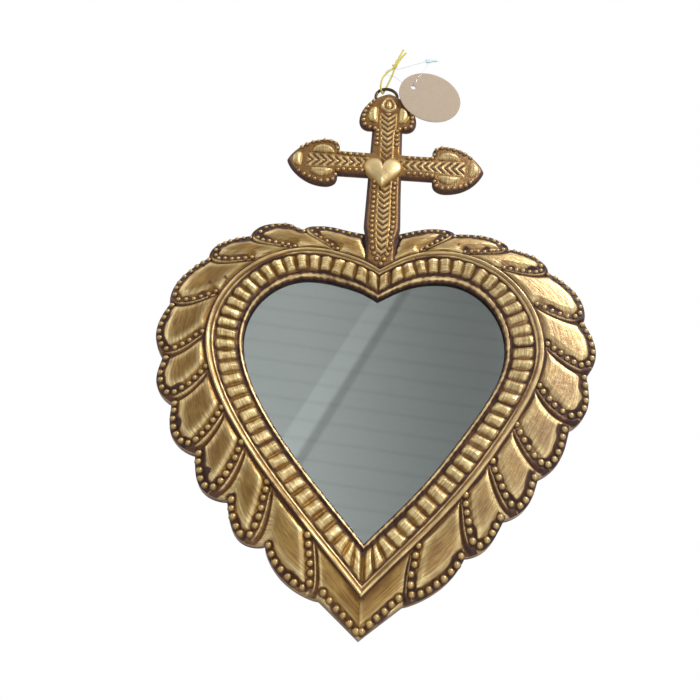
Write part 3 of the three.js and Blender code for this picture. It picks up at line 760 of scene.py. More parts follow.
outline = {
    "lobeCentre": 46.0,
    "handle": 0.3,
    "roundness": 0.56,
    "opening": {
        "notch": 35.5, "top": 52.7, "side": 88.5, "tip": -129.0, "sideZ": 3.0,
        "notchAngle": 33, "tipAngle": 47, "belly": 0.33,
    },
    "lip": {"notch": 5, "top": 6.8, "side": 4, "tip": 5.5},
    "flutes": {"notch": 11.8, "top": 11.0, "side": 14.3, "tip": 18},
    "ridge": {"notch": 4.8, "top": 5.2, "side": 7, "tip": 8.5},
    "leaves": {"notch": 32.9, "top": 18.5, "side": 29.5, "tip": 20.5},
    "leafRise": 11.0,
    "leafAngles": {"notchAngle": -4, "tipAngle": 40, "belly": 0.46},
    "leafStart": 12.5,
    "lean": 20.0,
    "flare": 0.8,
}

# the sheet is worked by hand, so its leaves differ from left (-1) to right (1)
leafSizes = {
    1: {
        "lengths": [41, 40, 33, 45, 40, 40, 39, 36, 34, 46],
        "scallop": [4.0, 4.3, 4.6, 5.0, 5.4, 5.6, 4.6, 4.4, 4.4, 5.0],
        "belly": [3.5, 6.0, 5.5, 2.5, 1.2, 0.6, 0, 0, 0, 0],
        "hook": [4.2, 3.6, 4.6, 4.4, 6.0, 7.6, 8.0, 8.2, 7.7, 5.5],
    },
    -1: {
        "lengths": [44, 39, 34.5, 46.8, 42.4, 33.3, 38, 36, 36, 44],
        "scallop": [4.0, 4.3, 5.2, 4.2, 4.6, 6.4, 7.5, 8.2, 9.0, 6.4],
        "belly": [3.0, 5.0, 6.0, 3.5, 2.0, 0.6, 0, 0, 0, 0],
        "hook": [4.2, 3.8, 4.6, 4.6, 4.8, 4.8, 5.5, 9.0, 9.5, 7.5],
    },
}


class heartLine:
    # half of a heart outline, from the notch over the lobe to the tip, by share of its length
    def __init__(self, sizes, steps=400):
        lobe = outline["lobeCentre"]
        notch, top, side, tip, sideZ = (sizes[k] for k in ("notch", "top", "side", "tip", "sideZ"))
        notchAngle, tipAngle = (math.radians(sizes[k]) for k in ("notchAngle", "tipAngle"))
        rise = outline["handle"] * math.hypot(lobe, top - notch)
        fall = outline["handle"] * math.hypot(side, sideZ - tip)
        notchHandle = (rise * math.cos(notchAngle), notch + rise * math.sin(notchAngle))
        tipHandle = (fall * math.cos(tipAngle), tip + fall * math.sin(tipAngle))
        reach = outline["roundness"]
        high, wide = (lobe + reach * (side - lobe), top), (side, sideZ + reach * (top - sideZ))
        curves = [
            [(0, notch), notchHandle, (0.5 * lobe, top), (lobe, top)],
            [(lobe, top), high, wide, (side, sideZ)],
            [(side, sideZ), (side, sideZ - sizes["belly"] * (sideZ - tip)), tipHandle, (0, tip)],
        ]
        t = np.linspace(0, 1, steps)[:, None]
        parts = []
        for a, b, c, d in np.array(curves, float):
            ends = (1 - t) ** 3 * a + t ** 3 * d
            parts.append(ends + 3 * (1 - t) ** 2 * t * b + 3 * (1 - t) * t * t * c)
        self.line = np.vstack([parts[0], parts[1][1:], parts[2][1:]])
        walked = walkedTo(self.line)
        self.length = walked[-1]
        self.share = walked / self.length

    def at(self, share):
        share = np.clip(share, 0, 1)
        return np.stack([np.interp(share, self.share, self.line[:, k]) for k in range(2)], -1)

    def nearest(self, points):
        share = np.linspace(0, 1, 1400)
        line = self.at(share)
        gap = np.hypot(*np.moveaxis(points[:, None] - line, -1, 0))
        return share[gap.argmin(1)]


def grown(sizes, band, **changes):
    # the outline outside a band of given widths
    made = {**sizes, "tip": sizes["tip"] - band["tip"], **changes}
    made.update({k: sizes[k] + band[k] for k in ("notch", "top", "side")})
    return made


openingSizes = outline["opening"]
fluteInnerSizes = grown(openingSizes, outline["lip"])
fluteOuterSizes = grown(fluteInnerSizes, outline["flutes"])
ridgeOuterSizes = grown(fluteOuterSizes, outline["ridge"])
leafSideZ = openingSizes["sideZ"] + outline["leafRise"]
leafOuterSizes = grown(ridgeOuterSizes, outline["leaves"], sideZ=leafSideZ, **outline["leafAngles"])
openingLine, fluteInnerLine, fluteOuterLine = (
    heartLine(sizes) for sizes in (openingSizes, fluteInnerSizes, fluteOuterSizes)
)
ridgeOuterLine, leafOuterLine = heartLine(ridgeOuterSizes), heartLine(leafOuterSizes)
leafEnds = {}
for side, sizes in leafSizes.items():
    ends = outline["leafStart"] + np.concatenate([[0], np.cumsum(sizes["lengths"])])
    leafEnds[side] = ends / leafOuterLine.length


def squareShare(share):
    # where the flutes, which stand square to the outline, have their inner ends
    square = fluteInnerLine.nearest(fluteOuterLine.at(share))
    fan = fadeIn(share, 0, 0.08) * fadeOut(share, 0.9, 1)
    return share + (square - share) * fan


def leafOf(share, side):
    # leaf number, share along it from root to rounded end, and whether it is a leaf at all
    ends = leafEnds[side]
    number = np.searchsorted(ends, share + 1e-6) - 1
    onLeaf = (number >= 0) & (number < len(ends) - 1)
    number = np.clip(number, 0, len(ends) - 2)
    along = (share - ends[number]) / (ends[number + 1] - ends[number])
    return number, np.clip(along, 0, 1), onLeaf


def scallop(share, side):
    number, along, onLeaf = leafOf(share, side)
    last = number == len(leafEnds[side]) - 2
    bulge = np.array(leafSizes[side]["scallop"])[number]
    skewed = along ** np.where(last, 0.9, 1.35)
    return np.where(onLeaf, bulge * np.maximum(0, np.sin(math.pi * skewed)) ** 0.8, 0)


def leanBack(share, t, side):
    # the leaves lean back towards the ridge, and the upper ones end in a rounded belly
    lean = outline["lean"] * np.minimum(1, np.minimum(share / 0.15, (1 - share) / 0.1))
    belly = np.interp(share, leafEnds[side], [0] + leafSizes[side]["belly"])
    belly = belly * np.sin(math.pi * t) ** 0.8
    return share - (lean * (1 - t) ** 2 - belly) / leafOuterLine.length


def leafPlace(share, t, side, inset=0.0):
    leaned = leanBack(share, t, side)
    a, b = ridgeOuterLine.at(leaned), leafOuterLine.at(leaned)
    out = (b - a) / np.maximum(1e-6, np.hypot(*np.moveaxis(b - a, -1, 0)))[..., None]
    t = np.asarray(t)[..., None] if np.ndim(t) else t
    reach = scallop(share, side)[..., None] * t - np.asarray(inset)[..., None]
    return a + (b - a) * t + out * reach


handMade = {
    "rightIn": -4.0,
    "leftDown": -4.3,
    "leftIn": -2.5,
}


def handShift(x, z, side):
    # where the real heart isn't the same on both sides, in millimetres to add to x and z
    if side > 0:
        dx = handMade["rightIn"] * hump(z, -50, 42) * fadeIn(x, 5, 60)
        return dx * (1 - 0.7 * fadeIn(x, 112, 135)), np.zeros_like(dx)
    highOutside = fadeIn(x, 58, 68) * fadeIn(z, 78, 92)
    dz = handMade["leftDown"] * fadeIn(x, 0, 30) * fadeIn(z, -20, 60) * (1 - 0.85 * highOutside)
    dx = handMade["leftIn"] * fadeIn(x, 105, 135) * hump(z, 50, 32)
    return dx, dz


def shifted(place, side):
    # a place on one half as it stands on the whole heart
    return (place + np.column_stack(handShift(place[:, 0], place[:, 1], side))) * (side, 1)


# bead rows

beadRows = {
    "edgeInset": 3.0,
    "cornerInset": 5.4,
    "hookTop": 0.74,
    "hookLean": 1.5,
    "finePitchLeaves": 3,
    "sizeAtLeaf": ([0, 2, 4, 7], [0.86, 0.94, 1.12, 1.34]),
    "strayed": 0.22,
    "hookEnd": [0.12, 0.1, 0.14, 0.1, 0.05, 0.02, 0.0, 0.0, 0.0, 0.02],
    "pitchTop": 4.7,
    "pitchSide": 5.4,
    "radius": 1.72,
    "rise": 1.9,
    "footSpread": 0.22,
    "sunk": 0.12,
    "sizeVaries": (0.93, 1.07),
    "heightVaries": (0.9, 1.1),
    "wearShadeAndHighlightVaries": (0.75, 1.1),
}


def roundCorners(line, passes=3):
    for _ in range(passes):
        a = 0.75 * line[:-1] + 0.25 * line[1:]
        b = 0.25 * line[:-1] + 0.75 * line[1:]
        line = np.vstack([line[:1], np.stack([a, b], 1).reshape(-1, 2), line[-1:]])
    return line


def evenPoints(line, pitch):
    return spreadAlong(line, max(2, int(round(walkedTo(line)[-1] / pitch)) + 1))


def leafBeadLine(k, side):
    # along the scallop, round the leaf's lower corner and back to the ridge
    first, last = leafEnds[side][k], leafEnds[side][k + 1]
    length = leafSizes[side]["lengths"][k]
    inset = leafSizes[side]["hook"][k]
    outer = np.linspace(0.05, 1 - (inset + 4.0) / length, 14)
    edgeInset = beadRows["edgeInset"] + (1.2 if k < 2 else 0)
    outerPart = leafPlace(first + (last - first) * outer, np.ones(14), side, np.full(14, edgeInset))
    t = np.linspace(beadRows["hookTop"], beadRows["hookEnd"][k], 12)
    back = 1 - (inset + beadRows["hookLean"] * (beadRows["hookTop"] - t)) / length
    hookPart = leafPlace(first + (last - first) * back, t, side)
    cornerShare = np.array([first + (last - first) * (1 - (inset + 0.8) / length)])
    corner = leafPlace(cornerShare, np.array([1.0]), side, np.array([beadRows["cornerInset"]]))
    return roundCorners(np.vstack([outerPart, corner, hookPart]))


def tipBeadLine(side):
    share = np.linspace(leafEnds[side][-1] + 0.004, 0.995, 12)
    inset = np.linspace(5.0, 3.2, 12)
    return leafPlace(share, np.ones(12), side, inset)


beadLines = {
    side: [leafBeadLine(k, side) for k in range(10)] + [tipBeadLine(side)] for side in (1, -1)
}


def heartBeadPlaces():
    places, sizes = [], []
    for side, lines in beadLines.items():
        for k, line in enumerate(lines):
            fine = k < beadRows["finePitchLeaves"]
            row = evenPoints(line, beadRows["pitchTop"] if fine else beadRows["pitchSide"])
            places.append(shifted(row, side))
            sizes.append(np.full(len(row), np.interp(k, *beadRows["sizeAtLeaf"])))
    places = np.vstack(places)
    strayed = np.random.default_rng(7).normal(0, beadRows["strayed"], places.shape)
    return places + strayed, np.concatenate(sizes)


heartBeads, heartBeadSizes = heartBeadPlaces()
print("bead rows laid out:", len(heartBeads))


def distanceTo(x, z, points, block=20000):
    # distance from each place to the nearest of some points
    found = np.empty(x.size)
    flatX, flatZ = x.ravel(), z.ravel()
    for start in range(0, x.size, block):
        dx = flatX[start:start + block, None] - points[None, :, 0]
        dz = flatZ[start:start + block, None] - points[None, :, 1]
        found[start:start + block] = np.sqrt((dx * dx + dz * dz).min(1))
    return found.reshape(x.shape)


# embossed heart sheet: heights in millimetres from the wall, darkness from 0 to 1

relief = {
    "columns": 560,
    "sheet": 0.45,
    "uneven": 0.12,
}

lipLook = {
    "rows": 8,
    "edge": 7.0,
    "top": 9.7,
    "dark": 0.95,
    "worn": 0.5,
    "patchy": 0.12,
}

fluteLook = {
    "rows": 16,
    "count": 37,
    "inner": 8.5,
    "outer": 12.1,
    "rise": 3.3,
    "uneven": 0.24,
    "twist": 0.24,
    # a size, or a place, and how much it varies from one flute to the next
    "half": (0.472, 0.022),
    "middle": (0.51, 0.025),
    "long": (0.47, 0.02),
    "aside": 0.05,
    "round": (2.1, 0.85),
    "ends": (4, 0.7),
    "crest": 0.55,
    "crestAt": (0.1, 0.4),
    "crestWidth": 0.2,
    "saddle": 0.35,
    "saddleLong": 0.65,
    "saddleShare": 0.7,
    # the gaps, ends and one side of each flute are darker: patina in the gaps and painted shade,
    # stronger on the right half
    "gapDark": {1: 0.68, -1: 0.56},
    "gapEdge": (0.03, 0.62),
    "endDark": 0.3,
    "endEdge": (0.55, 0.97),
    "shadeSide": 0.16,
}

ridgeLook = {
    "rows": 13,
    "top": 15.9,
    "foot": 1.7,
    "climb": (-0.05, 0.36),
    "fall": (0.80, 1.0),
    "fallPast": 0.6,
    # place across and width of both lines and of the hollow between them
    "thin": (0.17, 0.09),
    "broad": (0.66, 0.15),
    "between": (0.42, 0.12),
    "thinRise": 0.85,
    "broadRise": 1.25,
    "dark": 0.95,
    "thinBright": 0.7,
    "broadBright": 0.72,
    "betweenBright": 0.3,
    "worn": 0.25,
}

leafLook = {
    "rows": 37,
    "inner": 12.8,
    "outer": 10.6,
    "bow": 1.3,
    "crown": 1.3,
    "swell": 1.9,
    "swellFromBeads": (1.6, 6.0),
    "swellFromRib": (1.0, 7.0),
    "swellEnd": (0.86, 0.96),
    "swellRoot": 0.45,
    "rib": 0.9,
    "ribWidth": 0.6,
    "ribBack": (3.6, 0.42),
    "ribStart": (0.0, 0.25),
    "ribEnd": (0.7, 0.9),
    "step": 1.7,
    "stepDown": (-0.2, 0.7),
    "stepUp": (1.0, 3.8),
    "stepEnd": (0.9, 1.0),
    "channel": 0.7,
    "channelEdge": (1.7, 3.6),
    "edge": (0.93, 1.0),
    "uneven": 0.22,
    "frayed": 0.8,
    "rowDark": {1: 0.95, -1: 0.8},
    # dark lies close to the hooked rows, wider along the outer row and past the rib
    "rowReach": (1.5, 3.4),
    "outerWider": 1.8,
    "outerRow": (0.45, 0.75),
    "seamReach": (1.2, 4.6),
    "seamVaries": 1.4,
    "seamFrayed": 1.2,
    "seamBefore": -3.0,
    "ribBright": 0.4,
    "edgeDark": 0.55,
    "edgeBand": (0.9, 0.97),
    "ridgeDark": 0.8,
    "ridgeBand": (0.0, 0.07),
    "rootPatch": (0.15, 0.55),
    "rootDark": 0.2,
    "patchAt": (0.42, 0.12, 0.85),
    "patchDark": (0.32, 0.3),
}

rimLook = {
    "rows": 8,
    "top": 8.4,
    "bottom": 0.75,
    "ripple": 0.25,
    "fold": [(0.35, 0.75), (0.6, 3.0), (1.3, 6.0)],
    "dark": 0.8,
}


class sheetRows:
    # gathers the rows of one half with their darkness and brush map
    def __init__(self):
        self.points, self.dark, self.brush = [], [], []

    def add(self, place, height, dark, along, across):
        count = len(place)
        height = np.broadcast_to(height, count)
        self.points.append(np.column_stack([place[:, 0], height, place[:, 1]]))
        self.dark.append(np.clip(np.broadcast_to(dark, count), 0, 1))
        self.brush.append(np.column_stack([np.broadcast_to(v, count) for v in (along, across)]))


def addLip(rows, foot):
    # under the edge, round it and over the smooth lip
    look, sheet, floor = lipLook, relief["sheet"], fluteLook["inner"]
    a, b = openingLine.at(foot), fluteInnerLine.at(foot)
    along = foot * 300
    wobble = np.sin(along * 0.9) * np.sin(along * 0.37 + 1)
    under = ((0.95, floor - sheet), (0.5, look["top"] - sheet), (0.06, look["edge"]))
    for t, height in under:
        rows.add(a + (b - a) * t, height - sheet, 0.8, along, -4 * t)
    for t in np.linspace(0, 1, look["rows"], endpoint=False):
        rise = math.sin(min(1, t / 0.5) * math.pi / 2)
        height = look["edge"] + (look["top"] - look["edge"]) * rise
        height -= (look["top"] - floor + 0.5) * fadeIn(t, 0.6, 1.0)
        dark = look["dark"] - look["worn"] * hump(t, 0.4, 0.2) + look["patchy"] * wobble
        rows.add(a + (b - a) * t, height, dark, along, t * 4)


def addFlutes(rows, share, foot, side):
    # short rounded ribs, each a little different from the next
    look, number = fluteLook, fluteLook["count"]
    a, b = fluteInnerLine.at(foot), fluteOuterLine.at(share)
    each = np.random.default_rng(11 + side).uniform(-1, 1, (6, number + 1))
    which = np.clip(np.floor(share * number).astype(int), 0, number)
    high, wide, middle, long, shade, turn = each[:, which]
    half, varies = look["half"]
    beside = (share * number - which - 0.5 - look["aside"] * high) / (half + varies * wide)
    rise = look["rise"] * (1 + look["uneven"] * high)
    for t in np.linspace(0, 1, look["rows"], endpoint=False):
        floor = look["inner"] + (look["outer"] - look["inner"]) * t
        turned = beside + look["twist"] * turn * (t - 0.5)
        power, soft = look["round"]
        pillow = np.clip(1 - np.abs(turned + look["aside"]) ** power, 0, 1) ** soft
        crestAt, varies = look["crestAt"]
        beyondCrest = (turned - varies * middle - crestAt) / look["crestWidth"]
        crest = look["crest"] * pillow * np.exp(-beyondCrest ** 2)
        (at, atVaries), (size, sizeVaries) = look["middle"], look["long"]
        lengthShare = np.abs(t - (at + atVaries * middle)) / (size + sizeVaries * long)
        power, soft = look["ends"]
        body = pillow * np.clip(1 - lengthShare ** power, 0, 1) ** soft
        hollow = np.clip(1 - (lengthShare / look["saddleLong"]) ** 2, 0, 1)
        hollow = hollow * look["saddleShare"] * (1 + shade)
        height = floor + rise * body + crest - look["saddle"] * pillow * hollow
        # painted shade with patina: gaps and ends darker, more on the right half, and one side of
        # each flute darker as light from above leaves it
        dark = look["gapDark"][side] * fadeOut(body, *look["gapEdge"])
        dark = dark + look["shadeSide"] * (1 + middle) * fadeIn(beside * wide, 0.0, 0.5)
        dark = dark + look["endDark"] * fadeIn(lengthShare, *look["endEdge"])
        dark = dark + look["shadeSide"] * shade
        rows.add(a + (b - a) * t, height, dark, share * 300, 4 + t * 15)


def addRidge(rows, share, side):
    # two lines that run round the flutes with a hollow between them, worn here and there
    look = ridgeLook
    a, b = fluteOuterLine.at(share), ridgeOuterLine.at(share)
    wear = smoothNoise(61 + side, 16)(a[:, 0], a[:, 1])
    start, crest = fluteLook["outer"], look["top"] - look["foot"]
    for t in np.linspace(0, 1, look["rows"], endpoint=False):
        slope = start + (crest - start) * fadeIn(t, *look["climb"])
        fall = crest - leafLook["inner"] + look["fallPast"]
        slope -= fall * fadeIn(t, *look["fall"])
        thin, broad, between = (hump(t, *look[k]) for k in ("thin", "broad", "between"))
        worn = look["worn"] * wear
        dark = look["dark"] - (look["thinBright"] + worn) * thin
        dark = dark - (look["broadBright"] - worn) * broad - look["betweenBright"] * between
        height = slope + look["thinRise"] * thin + look["broadRise"] * broad
        rows.add(a + (b - a) * t, height, dark, share * 300, 19 + t * 6)


def addLeaves(rows, share, side):
    # overlapping leaves: field, bead channel, rib at the rounded end, step down to the next leaf
    look, count = leafLook, len(share)
    beadPath = np.vstack([evenPoints(line, 1.0) for line in beadLines[side]])
    each = np.random.default_rng(5 + side).uniform(-1, 1, (5, 10))
    wobble, fray = smoothNoise(3 + side, 14), smoothNoise(23 + side, 2.2, 24)
    number, along, onLeaf = leafOf(share, side)
    seamWide, patchAt, patchDark, rootDark, brushShift = each[:, number]
    length = np.array(leafSizes[side]["lengths"])[number]
    hooks = np.array(leafSizes[side]["hook"])
    ribs = np.maximum(hooks - look["ribBack"][0], look["ribBack"][1] * hooks)
    hook, ribPlace = hooks[number], ribs[number]
    ribBefore = np.concatenate([[0.0], ribs[:-1]])[number]
    rowDark = look["rowDark"][side]
    fromEnd = (1 - along) * length
    beyond = onLeaf & (fromEnd < hook)
    ribShape = hump(fromEnd, ribPlace, look["ribWidth"])
    rootPatch = fadeOut(along, *look["rootPatch"]) * look["rootDark"] * (1 + rootDark)
    for t in np.linspace(0, 1, look["rows"]):
        place = leafPlace(share, np.full(count, t), side)
        x, z = place[:, 0], place[:, 1]
        nearBeads = distanceTo(x, z, beadPath)
        # past the rib the next leaf begins
        fromRib = np.where(beyond, ribPlace - fromEnd, ribBefore + along * length * (0.7 + 0.3 * t))
        base = look["inner"] + (look["outer"] - look["inner"]) * t ** look["bow"]
        base = base + look["crown"] * math.sin(math.pi * min(1, t * 1.05)) ** 0.7
        body = fadeIn(nearBeads, *look["swellFromBeads"]) * fadeIn(fromRib, *look["swellFromRib"])
        swell = look["swell"] * body * fadeOut(t, *look["swellEnd"])
        swell = swell * (look["swellRoot"] + (1 - look["swellRoot"]) * along * (~beyond))
        ribEnd = fadeOut(t, *look["ribEnd"])
        rib = look["rib"] * ribShape * fadeIn(t, *look["ribStart"]) * ribEnd
        step = look["step"] * fadeIn(fromRib, *look["stepDown"])
        step = step * fadeOut(fromRib, *look["stepUp"])
        step = step * fadeOut(t, *look["stepEnd"])
        step = step * np.where(number == 9, fadeIn(fromEnd, 0.0, 1.5), 1.0)
        channel = look["channel"] * fadeOut(nearBeads, *look["channelEdge"])
        edgeDrop = (look["outer"] - rimLook["top"]) * fadeIn(t, *look["edge"])
        height = base + onLeaf * fadeIn(t, 0.0, 0.1) * (swell + rib - step)
        height = height - channel - edgeDrop
        height = height + look["uneven"] * wobble(x, z)
        near, reach = look["rowReach"]
        reach = reach + look["outerWider"] * fadeIn(t, *look["outerRow"])
        dark = rowDark * fadeOut(nearBeads + look["frayed"] * fray(x, z), near, reach)
        # painted shade with patina in the step where each leaf's rounded end lies over the next
        near, reach = look["seamReach"]
        reach = reach + look["seamVaries"] * seamWide + look["seamFrayed"] * fray(z, x)
        seam = rowDark * fadeOut(fromRib, near, reach)
        dark = np.maximum(dark, seam * onLeaf * (fromRib > look["seamBefore"]))
        dark = dark - look["ribBright"] * ribShape * onLeaf * ribEnd
        dark = np.maximum(dark, look["edgeDark"] * fadeIn(t, *look["edgeBand"]))
        dark = np.maximum(dark, look["ridgeDark"] * fadeOut(t, *look["ridgeBand"]))
        start, varies, end = look["patchAt"]
        outerPatch = fadeIn(t, start + varies * patchAt, end)
        outerPatch = outerPatch * (look["patchDark"][0] + look["patchDark"][1] * patchDark)
        dark = np.clip(dark, 0, 1) + (outerPatch + rootPatch) * onLeaf * (~beyond)
        rows.add(place, height, dark, share * leafOuterLine.length + 3 * brushShift, 25 + t * 29)


def addRim(rows, share, side):
    # the edge turned down towards the wall, with a narrow fold behind it
    look, count = rimLook, len(share)
    wobble = smoothNoise(13 + side, 12)
    edge = leafPlace(share, np.ones(count), side)
    out = leafPlace(share, np.ones(count), side, np.full(count, -1.0)) - edge
    topHeight = rows.points[-1][:, 1]
    along = share * leafOuterLine.length
    for step in np.linspace(0.12, 1, look["rows"]):
        flare = 0.25 + (outline["flare"] - 0.25) * step
        ripple = look["ripple"] * math.sin(math.pi * step) * wobble(*edge.T * 1.7)
        place = edge + out * (flare * min(1, step * 3) + ripple)[:, None]
        height = topHeight + (look["bottom"] - topHeight) * step
        # painted shade: the turned-down edge grows darker towards the wall
        rows.add(place, height, 0.6 + 0.2 * step, along, 55 + step * 8)
    for inset, height in look["fold"]:
        rows.add(edge + out * (outline["flare"] - inset), height, look["dark"], along, 64 + inset)


def heartHalf(side):
    share = np.linspace(0, 1, relief["columns"])
    inner = leanBack(share, 0.0, side)
    foot = squareShare(inner)
    rows = sheetRows()
    addLip(rows, foot)
    addFlutes(rows, inner, foot, side)
    addRidge(rows, inner, side)
    addLeaves(rows, share, side)
    addRim(rows, share, side)
    points = np.array(rows.points)
    dx, dz = handShift(points[..., 0], points[..., 2], side)
    points[..., 0] += dx
    points[..., 2] += dz
    return points, np.array(rows.dark), np.array(rows.brush)


def reliefProud(height, passes=14):
    # how far a place stands above what is round it
    soft = height.copy()
    for _ in range(passes):
        side = 0.25 * (np.roll(soft, 1, 1) + np.roll(soft, -1, 1)) + 0.5 * soft
        up = np.vstack([side[:1], side[:-1]])
        down = np.vstack([side[1:], side[-1:]])
        soft = 0.25 * (up + down) + 0.5 * side
    return np.clip((height - soft) / 0.45, 0, 1)


def buildHeartSheet():
    right, darkRight, brushRight = heartHalf(1)
    left, darkLeft, brushLeft = heartHalf(-1)
    left, darkLeft, brushLeft = (part[:, ::-1][:, 1:-1] for part in (left, darkLeft, brushLeft))
    points = np.concatenate([right, left * (-1, 1, 1)], 1)
    dark = np.concatenate([darkRight, darkLeft], 1)
    brushUv = np.concatenate([brushRight, brushLeft + (0, 600)], 1)
    uneven = smoothNoise(21, 30)
    lifted = relief["uneven"] * (points[..., 1] > 3)
    points[..., 1] += lifted * uneven(points[..., 0], points[..., 2])
    rowCount, columns = dark.shape
    index = np.arange(rowCount * columns).reshape(rowCount, columns)
    ahead = np.roll(index, -1, 1)
    faces = np.stack([index[:-1], ahead[:-1], ahead[1:], index[1:]], -1).reshape(-1, 4)
    # the crest mask: raised places get pale gold later, as rubbed metal and as painted highlight
    proudWearAndHighlight = reliefProud(points[..., 1])
    attributes = {"hollow": dark.ravel(), "proudWearAndHighlight": proudWearAndHighlight.ravel()}
    points, brushUv = points.reshape(-1, 3), brushUv.reshape(-1, 2)
    return meshPiece("heartSheet", points, faces.tolist(), attributes, brushUv)


heartSheet = buildHeartSheet()
faceOutwards(heartSheet)
finish(heartSheet, sheetGold, "frame", "antique_tin", "front_sheet")
print("heart sheet:", len(heartSheet.data.polygons), "faces")


# the beads themselves: one is shaped, the others are copies of it

def shapeBead():
    deselectAll()
    bpy.ops.mesh.primitive_uv_sphere_add(segments=10, ring_count=8, radius=1)
    bead = bpy.context.object
    bpy.ops.object.mode_set(mode="EDIT")
    bpy.ops.mesh.select_all(action="SELECT")
    bpy.ops.mesh.bisect(plane_co=(0, 0, 0.02), plane_no=(0, 0, 1), clear_inner=True, use_fill=False)
    bpy.ops.object.mode_set(mode="OBJECT")
    corners = np.array([v.co[:] for v in bead.data.vertices])
    faces = [list(p.vertices) for p in bead.data.polygons]
    bpy.data.objects.remove(bead)
    level = corners[:, 2].copy()
    spread = beadRows["footSpread"]
    wider = 1 + spread * np.clip(1 - level / spread, 0, 1) ** 2
    flat = corners[:, :2] * (wider * beadRows["radius"])[:, None]
    return lifted(flat, level * beadRows["rise"]), faces, level


def scatterBeads(name, places, bedHeight, seed, sizes, dark=0.95):
    shaped, faces, level = shapeBead()
    rng = np.random.default_rng(seed)
    points, allFaces, hollow, proudWearAndHighlight = [], [], [], []
    for k, (x, z) in enumerate(places):
        size = sizes[k] * rng.uniform(*beadRows["sizeVaries"])
        stretch = (size, size * rng.uniform(*beadRows["heightVaries"]), size)
        one = shaped * stretch + (x, bedHeight[k] - beadRows["sunk"], z)
        start = k * len(shaped)
        points.append(one)
        allFaces += [[start + i for i in face] for face in faces]
        worn = rng.uniform(*beadRows["wearShadeAndHighlightVaries"])
        # painted shade round each bead's foot, with patina there, and a painted highlight on its
        # top, both set by height on the bead
        hollow.append(np.clip(dark * (1.1 - level * 1.3 * worn), 0, 1))
        proudWearAndHighlight.append(np.clip((level - 0.55) * 1.6 * worn, 0, 1))
    attributes = {"hollow": np.concatenate(hollow), "proudWearAndHighlight": np.concatenate(proudWearAndHighlight)}
    piece = meshPiece(name, np.vstack(points), allFaces, attributes)
    faceOutwards(piece)
    finish(piece, beadGold, "frame", "antique_tin")
    return piece


def heightUnder(piece, places):
    # how high the sheet stands at each place, by looking at it from the front
    found = []
    for x, z in places:
        hit, point, _, _ = piece.ray_cast(Vector((x * mm, -0.05, z * mm)), Vector((0, 1, 0)))
        found.append(-point.y / mm if hit else 10.0)
    return np.array(found)


scatterBeads("heartBeads", heartBeads, heightUnder(heartSheet, heartBeads), 31, heartBeadSizes)
print("heart beads:", len(heartBeads))


# the cross, embossed in one sheet with its rim turned towards the wall

cross = {
    "crossingZ": 151.2,
    "topZ": 228.0,
    "blunt": 3.4,
    "footZ": 56.0,
    "leafTopZ": 96.7,
    "halfSpan": 78.0,
    "stem": 11.5,
    "stemLow": 12.9,
    "stemFoot": 10.5,
    "finialLength": 42.0,
    "finial": 22.2,
    "shoulder": 9.0,
    "height": 12.0,
    "footHeight": 16.4,
    "rim": 5.6,
    "rimOnHeart": 10.6,
    "edgeDrop": 2.2,
    "spacing": 0.7,
    "uneven": 0.16,
    "rimDark": 0.78,
    "proudWearAndHighlight": 0.75,
    # share of the way down and spread; it turns in under the edge, so it hardly shows from below
    "rimLevels": [
        (0.15, 0.3), (0.35, 0.1), (0.65, -0.8), (1.0, -1.9), (1.0, -2.3), (0.6, -1.4), (0.25, -1.0),
    ],
}

veins = {
    "pitch": 5.3,
    "rise": 1.0,
    "half": 3.9,
    "slope": 0.95,
    "armEnd": 17.5,
    "topEnd": 24.5,
    "widen": 0.4,
    "footWidth": 0.62,
    "lineAt": 4.6,
    "lineRise": 0.4,
    "plainDark": 0.62,
    "edgeDark": 0.35,
    "ridgeBright": 0.92,
    "crossingDark": 0.75,
    "crossingAt": 147,
    "crossingReach": 17,
    "edgeBand": (0.5, 2.6),
    "bandSoft": 0.35,
    "endSoft": 2.5,
    "widenFrom": (25, 12),
    "footStart": (60, 66),
    "footWiden": (60, 92),
}

crossBeadRows = {
    "beside": 7.5,
    "inset": 3.1,
    "pitch": 4.6,
    "apart": 3.3,
    "strayed": 0.15,
    "footZ": [59.5, 67, 75, 96],
    "footBeside": [0.3, 4.6, 6.5, 7.5],
    "fromCrossing": (17.5, 18.0, 19.0),
    "endInset": 2.5,
    # beyond the second of these places the row follows the leaf's edge
    "armOpens": [17.5, 34, 38.5],
    "headOpens": [170.2, 186, 189],
    "free": 40,
}


def finialWidth(past):
    shoulder, widest = cross["shoulder"], cross["finial"]
    early = np.sqrt(np.clip(1 - (1 - past / shoulder) ** 2, 0, 1))
    first = max(cross["stem"], 0.7 * widest) * (1 - early) + widest * early
    later = np.clip((past - shoulder) / (cross["finialLength"] - cross["blunt"] - shoulder), 0, 1)
    second = widest * np.maximum(0, 1 - later ** 2.1) ** 0.75
    return np.where(past < shoulder, first, second)


def stemWidth(z):
    neckZ = cross["topZ"] - cross["finialLength"]
    plain = np.interp(z, [cross["leafTopZ"], neckZ], [cross["stemLow"], cross["stem"]])
    low = np.minimum(cross["stemFoot"], 2 + (z - cross["footZ"]) / 0.65)
    low = low + (cross["stemLow"] - cross["stemFoot"]) * fadeIn(z, 78, 92)
    width = np.where(z < cross["leafTopZ"], low, plain)
    return np.where(z > neckZ, finialWidth(np.maximum(z - neckZ, 0)), width)


def armWidth(x):
    past = np.abs(x) - (cross["halfSpan"] - cross["finialLength"])
    return np.where(past > 0, finialWidth(np.maximum(past, 0)), cross["stem"])


